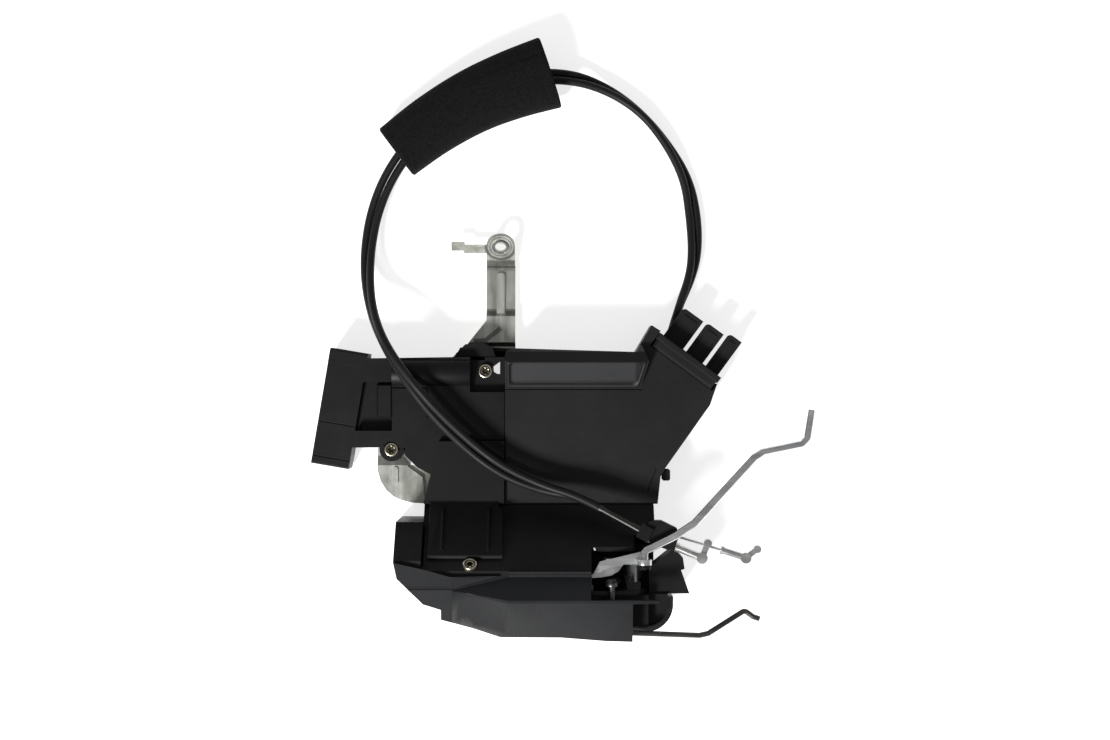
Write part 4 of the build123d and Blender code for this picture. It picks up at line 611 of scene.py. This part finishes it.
BRACKET_STEEL = metal(
    "bracket_steel", clean=(0.66, 0.67, 0.63), stained=(0.36, 0.36, 0.31),
    rough=0.36, spread=0.1, scratch=900.0, metallic=0.75, stretch=(1.0, 0.1, 1.0))
# Painted shade on the bracket at its fold, bead, curl and eye.
paint_press_shade(BRACKET_STEEL)
FACE_STEEL = metal(
    "face_steel", clean=(0.04, 0.04, 0.042), stained=(0.024, 0.024, 0.025),
    rough=0.4, spread=0.08, metallic=0.4)
ZINC_STEEL = metal(
    "zinc_steel", clean=(0.86, 0.86, 0.86), stained=(0.5, 0.51, 0.53),
    rough=0.24, spread=0.08, scratch=700.0, metallic=0.9, stretch=(0.08, 0.9, 0.9))
DARK_STEEL = metal(
    "dark_steel", clean=(0.16, 0.155, 0.15), stained=(0.09, 0.087, 0.083), rough=0.36, spread=0.09)
WIRE_STEEL = metal(
    "wire_steel", clean=(0.66, 0.66, 0.65), stained=(0.46, 0.46, 0.45),
    rough=0.3, spread=0.08, metallic=0.9)
PIN_STEEL = metal(
    "pin_steel", clean=(0.075, 0.074, 0.072), stained=(0.045, 0.044, 0.042), rough=0.4, spread=0.08)
CLAW_STEEL = metal(
    "claw_steel", clean=(0.2, 0.2, 0.2), stained=(0.13, 0.13, 0.13), rough=0.34, spread=0.08)
SCREW_STEEL = metal(
    "screw_steel", clean=(0.62, 0.58, 0.47), stained=(0.46, 0.43, 0.34), rough=0.32, spread=0.08)
# Dark colour for the screws' socket and groove: painted shade in these recesses.
SOCKET_PAINTED_SHADE = metal(
    "socket_painted_shade", clean=(0.1, 0.09, 0.06), stained=(0.06, 0.055, 0.04), rough=0.5, spread=0.08)
MOTOR_STEEL = metal(
    "motor_steel", clean=(0.5, 0.5, 0.5), stained=(0.4, 0.4, 0.4), rough=0.3, spread=0.08)
WORM_BRASS = metal(
    "worm_brass", clean=(0.62, 0.46, 0.2), stained=(0.45, 0.32, 0.13), rough=0.3, spread=0.08)
TINNED = metal(
    "tinned_blades", clean=(0.66, 0.64, 0.56), stained=(0.5, 0.48, 0.42), rough=0.28, spread=0.08)

FOAM_CELL_SCALE = 900.0
FOAM_CLUMP_SCALE = 260.0
FOAM_TONE_SPAN = (0.4, 1.2)
# Colour of the cell hollows, which is painted shade, and of the outer cell walls.
FOAM_HOLLOW_SHADE = (0.0025, 0.0025, 0.003)
FOAM_OUTER = (0.009, 0.009, 0.0098)
FOAM_RELIEF = 0.0003
FOAM_STRENGTH = 0.9
FOAM_ROUGH = 0.95
FOAM_SPECULAR = 0.15


def foam_material():
    """Open-cell foam: round cells of several sizes, very matt, with painted shade in the cell hollows.
    """
    material, tree, shader = start_material("foam_cells")
    cells = tree.nodes.new("ShaderNodeTexVoronoi")
    cells.inputs["Scale"].default_value = FOAM_CELL_SCALE
    link(tree, surface_point(tree), cells.inputs["Vector"])
    clumps = noise(tree, FOAM_CLUMP_SCALE, detail=6.0, roughness=0.7)
    height = math_node(tree, "ADD", cells.outputs["Distance"], clumps)
    # Tone follows the relief, darkest where it is lowest: painted shade in the cell hollows and between
    # the clumps.
    tone = ramp_between(tree, height, *FOAM_TONE_SPAN)
    link(tree, colour_mix(tree, tone, FOAM_HOLLOW_SHADE, FOAM_OUTER), shader.inputs["Base Color"])
    link(tree, bump(tree, height, FOAM_STRENGTH, FOAM_RELIEF), shader.inputs["Normal"])
    shader.inputs["Roughness"].default_value = FOAM_ROUGH
    shader.inputs["Specular IOR Level"].default_value = FOAM_SPECULAR
    return material


FOAM = foam_material()

FINISHES = {
    "back_housing": HOUSING_PLASTIC, "main_cover": COVER_PLASTIC,
    "connector_housing": HOUSING_PLASTIC, "connector_terminals": TINNED,
    "linkage_cover": PANEL_PLASTIC, "cable_outlet_cap": OUTLET_PLASTIC,
    "motor": MOTOR_STEEL, "motor_worm": WORM_BRASS, "worm_wheel": GEAR_PLASTIC,
    "lever_pivots": ZINC_STEEL, "lock_lever": LEVER_PLASTIC, "inside_lever": LEVER_PLASTIC,
    "contact_plate": TINNED, "position_switches": CLIP_PLASTIC, "mount_bracket": BRACKET_STEEL,
    "screws": SCREW_STEEL, "face_plate": FACE_STEEL, "latch_casing": HOUSING_PLASTIC,
    "bump_stop": RUBBER, "back_plate": FACE_STEEL, "claw_pin": PIN_STEEL,
    "pawl_pin": PIN_STEEL, "claw": CLAW_STEEL, "pawl": CLAW_STEEL,
    "claw_spring": DARK_STEEL, "pawl_spring": DARK_STEEL, "water_shield": SHIELD_PLASTIC,
    "leg_housing": HOUSING_PLASTIC, "outside_lever": ZINC_STEEL, "outside_lever_pin": PIN_STEEL,
    "outside_rod": ZINC_STEEL, "outside_rod_clip": CLIP_PLASTIC, "key_lever": DARK_STEEL,
    "key_rod": DARK_STEEL, "key_rod_clip": CLIP_PLASTIC, "foam_sleeve": FOAM,
    "cable_ferrules": PIN_STEEL, "cable_clip": CLIP_PLASTIC, "handle_wire_end": WIRE_STEEL,
    "lock_wire_end": WIRE_STEEL, "handle_cable": JACKET, "lock_cable": JACKET,
}
for node_name, finish in FINISHES.items():
    node_mesh = NODES[node_name].data
    node_mesh.materials.clear()
    node_mesh.materials.append(finish)
for jacket in CABLES.values():
    jacket.data.materials.append(JACKET)
wrap.data.materials.append(FOAM)

# ---------------------------------------------------------------- rim of the ridge face
# Foot and crest of the ridge: y and z of each line, drawing millimetres.
RIDGE_FOOT = (28.2, 31.0)
RIDGE_CREST = (43.2, 40.0)
RIDGE_FACE = Vector((0, RIDGE_CREST[0] - RIDGE_FOOT[0], RIDGE_CREST[1] - RIDGE_FOOT[1]))
RIM_LEFT = -31.6
RIM_RIGHT = (41.8, 46.6)
RIM_SIDE = 2.6
RIM_FOOT = 3.4
RIM_CREST = 1.3
RIM_ARC = 8
# Loops from the outside in: share of the rim's width, height above the face and corner radius.
RIM_LOOPS = (
    (0.0, -0.3, 0.6),
    (0.15, 0.77, 0.8),
    (0.4, 1.1, 1.2),
    (0.75, 0.66, 2.6),
    (1.0, -0.1, 3.12),
)


def ridge_point(x, up, rise):
    """Point on the ridge's face: x, distance up the face and height above it."""
    slope = RIDGE_FACE.normalized()
    normal = Vector((0, -slope.z, slope.y))
    lean = (RIM_RIGHT[1] - RIM_RIGHT[0]) * up / RIDGE_FACE.length
    foot = Vector((x + (lean if x > 0 else 0), RIDGE_FOOT[0], RIDGE_FOOT[1]))
    return at(*(foot + slope * up + normal * rise))


def rim_loop(inward, rise, corner):
    """Rounded loop round the face; inward is the share of the rim's width."""
    left = RIM_LEFT + RIM_SIDE * inward + corner
    right = RIM_RIGHT[0] - RIM_SIDE * inward - corner
    low = RIM_FOOT * inward + corner
    high = RIDGE_FACE.length - RIM_CREST * inward - corner
    loop = []
    for quarter, (x, up) in enumerate(((right, high), (left, high), (left, low), (right, low))):
        for k in range(RIM_ARC + 1):
            turn = radians(90 * (quarter + k / RIM_ARC))
            loop.append(ridge_point(x + corner * cos(turn), up + corner * sin(turn), rise))
    return loop


def ridge_rim():
    """Rounded moulded rim that frames the ridge's face."""
    mesh = ring_mesh("ridge_rim", [rim_loop(*loop) for loop in RIM_LOOPS])
    mesh.materials.append(COVER_PLASTIC)
    smooth_shade(mesh)
    obj = add_object("ridge_rim", mesh)
    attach(obj, "latch")


ridge_rim()

# ---------------------------------------------------------------- screws
SCREW_R = 2.0
SCREW_TIP_R = 1.3
SCREW_TIP_L = 0.6
SCREW_HEAD_R = 3.9
SCREW_HEAD_T = 2.4
SCREW_MIDDLE_R = 0.02
SCREW_SIDES = 60
SOCKET_R = 1.75
SOCKET_FLOOR_R = 1.6
SOCKET_LOBE = 0.32
SOCKET_LOBES = 6
SOCKET_DEPTH = 2.0
SOCKET_BEVEL = 0.3
RING_R = 2.1
RING_DROP = 0.1
GROOVE_R = (2.35, 2.85)
GROOVE_DEPTH = 0.7
GROOVE_RIM_R = 3.0
HEAD_FLAT_R = 3.4
HEAD_SHOULDER = (3.7, 0.12)
HEAD_ROUND = 0.5
# Skin rings that carry painted shade: the socket's floor and wall, and the groove's floor.
PAINTED_SHADE_RINGS = (0, 1, 4)
# Seat of the head, tilt about x and length of the shank.
SCREW_SEATS = (
    ((-43.5, 37.7, 24.5), 0.0, 24.0),
    ((-96.1, -6.0, 22.0), 0.0, 21.0),
    ((-50.6, -67.7, 63.7), -45.0, 7.5),
)


def screw_profile(length):
    """Radius, height and lobe of each ring, from the socket's floor to the shank's tip."""
    top = SCREW_HEAD_T
    floor_z = top - SOCKET_DEPTH
    groove_z = top - GROOVE_DEPTH
    return (
        (SCREW_MIDDLE_R, floor_z, 0.0),
        (SOCKET_FLOOR_R, floor_z, SOCKET_LOBE),
        (SOCKET_R, top - SOCKET_BEVEL, SOCKET_LOBE),
        (RING_R, top - RING_DROP, SOCKET_LOBE / 2),
        (GROOVE_R[0], groove_z, 0.0),
        (GROOVE_R[1], groove_z, 0.0),
        (GROOVE_RIM_R, top, 0.0),
        (HEAD_FLAT_R, top, 0.0),
        (HEAD_SHOULDER[0], top - HEAD_SHOULDER[1], 0.0),
        (SCREW_HEAD_R, top - HEAD_ROUND, 0.0),
        (SCREW_HEAD_R, 0.0, 0.0),
        (SCREW_R, 0.0, 0.0),
        (SCREW_R, SCREW_TIP_L - length, 0.0),
        (SCREW_TIP_R, -length, 0.0),
        (SCREW_MIDDLE_R, -length, 0.0),
    )


def screw_ring(radius, height, lobe):
    ring = []
    for k in range(SCREW_SIDES):
        turn = radians(360 * k / SCREW_SIDES)
        r = radius + lobe * cos(SOCKET_LOBES * turn)
        ring.append((r * cos(turn) / 1000, r * sin(turn) / 1000, height / 1000))
    return ring


def screw(number, seat, tilt, length):
    """Raised-head screw with a six-lobed socket inside a raised ring."""
    mesh = ring_mesh(f"screw_{number}", [screw_ring(*ring) for ring in screw_profile(length)])
    mesh.flip_normals()
    mesh.materials.append(SCREW_STEEL)
    mesh.materials.append(SOCKET_PAINTED_SHADE)
    # The socket's and the groove's faces take the painted shade.
    for face in mesh.polygons:
        face.material_index = int(face.index // SCREW_SIDES in PAINTED_SHADE_RINGS)
    obj = add_object(f"screw_{number}", mesh)
    obj.location = at(*seat)
    obj.rotation_euler = (radians(tilt), 0, 0)
    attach(obj, "latch")
    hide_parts("screws")


for screw_number, (screw_seat, screw_tilt, screw_length) in enumerate(SCREW_SEATS):
    screw(screw_number, screw_seat, screw_tilt, screw_length)

# ---------------------------------------------------------------- moulded and pressed edges
# Width of the rounding on each node, in millimetres.
EDGE_WIDTH = {
    "back_housing": 0.5, "main_cover": 0.7, "connector_housing": 0.6, "linkage_cover": 0.6,
    "cable_outlet_cap": 0.45, "mount_bracket": 0.4, "face_plate": 0.4, "latch_casing": 0.4,
    "water_shield": 0.6, "leg_housing": 0.7, "outside_lever": 0.25, "cable_clip": 0.3,
    "key_lever": 0.25,
}
EDGE_ANGLE = radians(35)
EDGE_SEGMENTS = 2
WELD_REACH = 0.000002


def soften(name, width):
    """Rounds the sharp edges of a moulded or pressed node."""
    obj = NODES[name]
    weld = obj.modifiers.new("weld", "WELD")
    weld.merge_threshold = WELD_REACH
    edge = obj.modifiers.new("edge", "BEVEL")
    edge.width = width / 1000
    edge.segments = EDGE_SEGMENTS
    edge.limit_method = "ANGLE"
    edge.angle_limit = EDGE_ANGLE
    edge.use_clamp_overlap = True
    edge.harden_normals = False


for edge_node, edge_width in EDGE_WIDTH.items():
    soften(edge_node, edge_width)

# ---------------------------------------------------------------- floor and light
FLOOR_HALF = 3.0
FLOOR_DROP = 0.0002
FLOOR_COLOUR = (0.86, 0.86, 0.86, 1)
FLOOR_ROUGH = 0.9
FLOOR_SPECULAR = 0.1
FLOOR_GLOW = 0.7
SKY_STRENGTH = 0.26
LAMP_AT = (-0.62, -0.85, 1.1)
LAMP_SIZE = 0.3
LAMP_POWER = 29.0
LAMP_AIM = Vector((0, 0.03, 0.03))


def floor_paper():
    """Pale paper that shows white to the camera and in gloss, and keeps the shadow."""
    material, tree, shader = start_material("floor_paper")
    shader.inputs["Base Color"].default_value = FLOOR_COLOUR
    shader.inputs["Roughness"].default_value = FLOOR_ROUGH
    shader.inputs["Specular IOR Level"].default_value = FLOOR_SPECULAR
    path = tree.nodes.new("ShaderNodeLightPath")
    seen = math_node(tree, "MAXIMUM", path.outputs["Is Camera Ray"], path.outputs["Is Glossy Ray"])
    seen = math_node(tree, "MAXIMUM", seen, path.outputs["Is Transmission Ray"])
    glow = tree.nodes.new("ShaderNodeEmission")
    link(tree, math_node(tree, "MULTIPLY", seen, FLOOR_GLOW), glow.inputs["Strength"])
    both = tree.nodes.new("ShaderNodeAddShader")
    link(tree, shader.outputs[0], both.inputs[0])
    link(tree, glow.outputs[0], both.inputs[1])
    link(tree, both.outputs[0], tree.nodes["Material Output"].inputs["Surface"])
    return material


def floor():
    mesh = bpy.data.meshes.new("floor")
    corners = [(-FLOOR_HALF, -FLOOR_HALF, 0), (FLOOR_HALF, -FLOOR_HALF, 0),
               (FLOOR_HALF, FLOOR_HALF, 0), (-FLOOR_HALF, FLOOR_HALF, 0)]
    mesh.from_pydata(corners, [], [(0, 1, 2, 3)])
    mesh.materials.append(floor_paper())
    obj = add_object("floor", mesh)
    obj.location.z = -FLOOR_DROP


def key_lamp():
    data = bpy.data.lights.new("key_low_left", "AREA")
    data.shape = "RECTANGLE"
    data.size = LAMP_SIZE
    data.size_y = LAMP_SIZE
    data.energy = LAMP_POWER
    obj = add_object("key_low_left", data)
    obj.location = LAMP_AT
    obj.rotation_euler = (LAMP_AIM - Vector(LAMP_AT)).to_track_quat("-Z", "Y").to_euler()


def light_studio():
    world = bpy.data.worlds.new("studio")
    bpy.context.scene.world = world
    world.use_nodes = True
    world.node_tree.nodes["Background"].inputs["Color"].default_value = (1, 1, 1, 1)
    world.node_tree.nodes["Background"].inputs["Strength"].default_value = SKY_STRENGTH
    key_lamp()
    bpy.context.scene.view_settings.view_transform = "Standard"


floor()
light_studio()

bpy.context.view_layer.update()
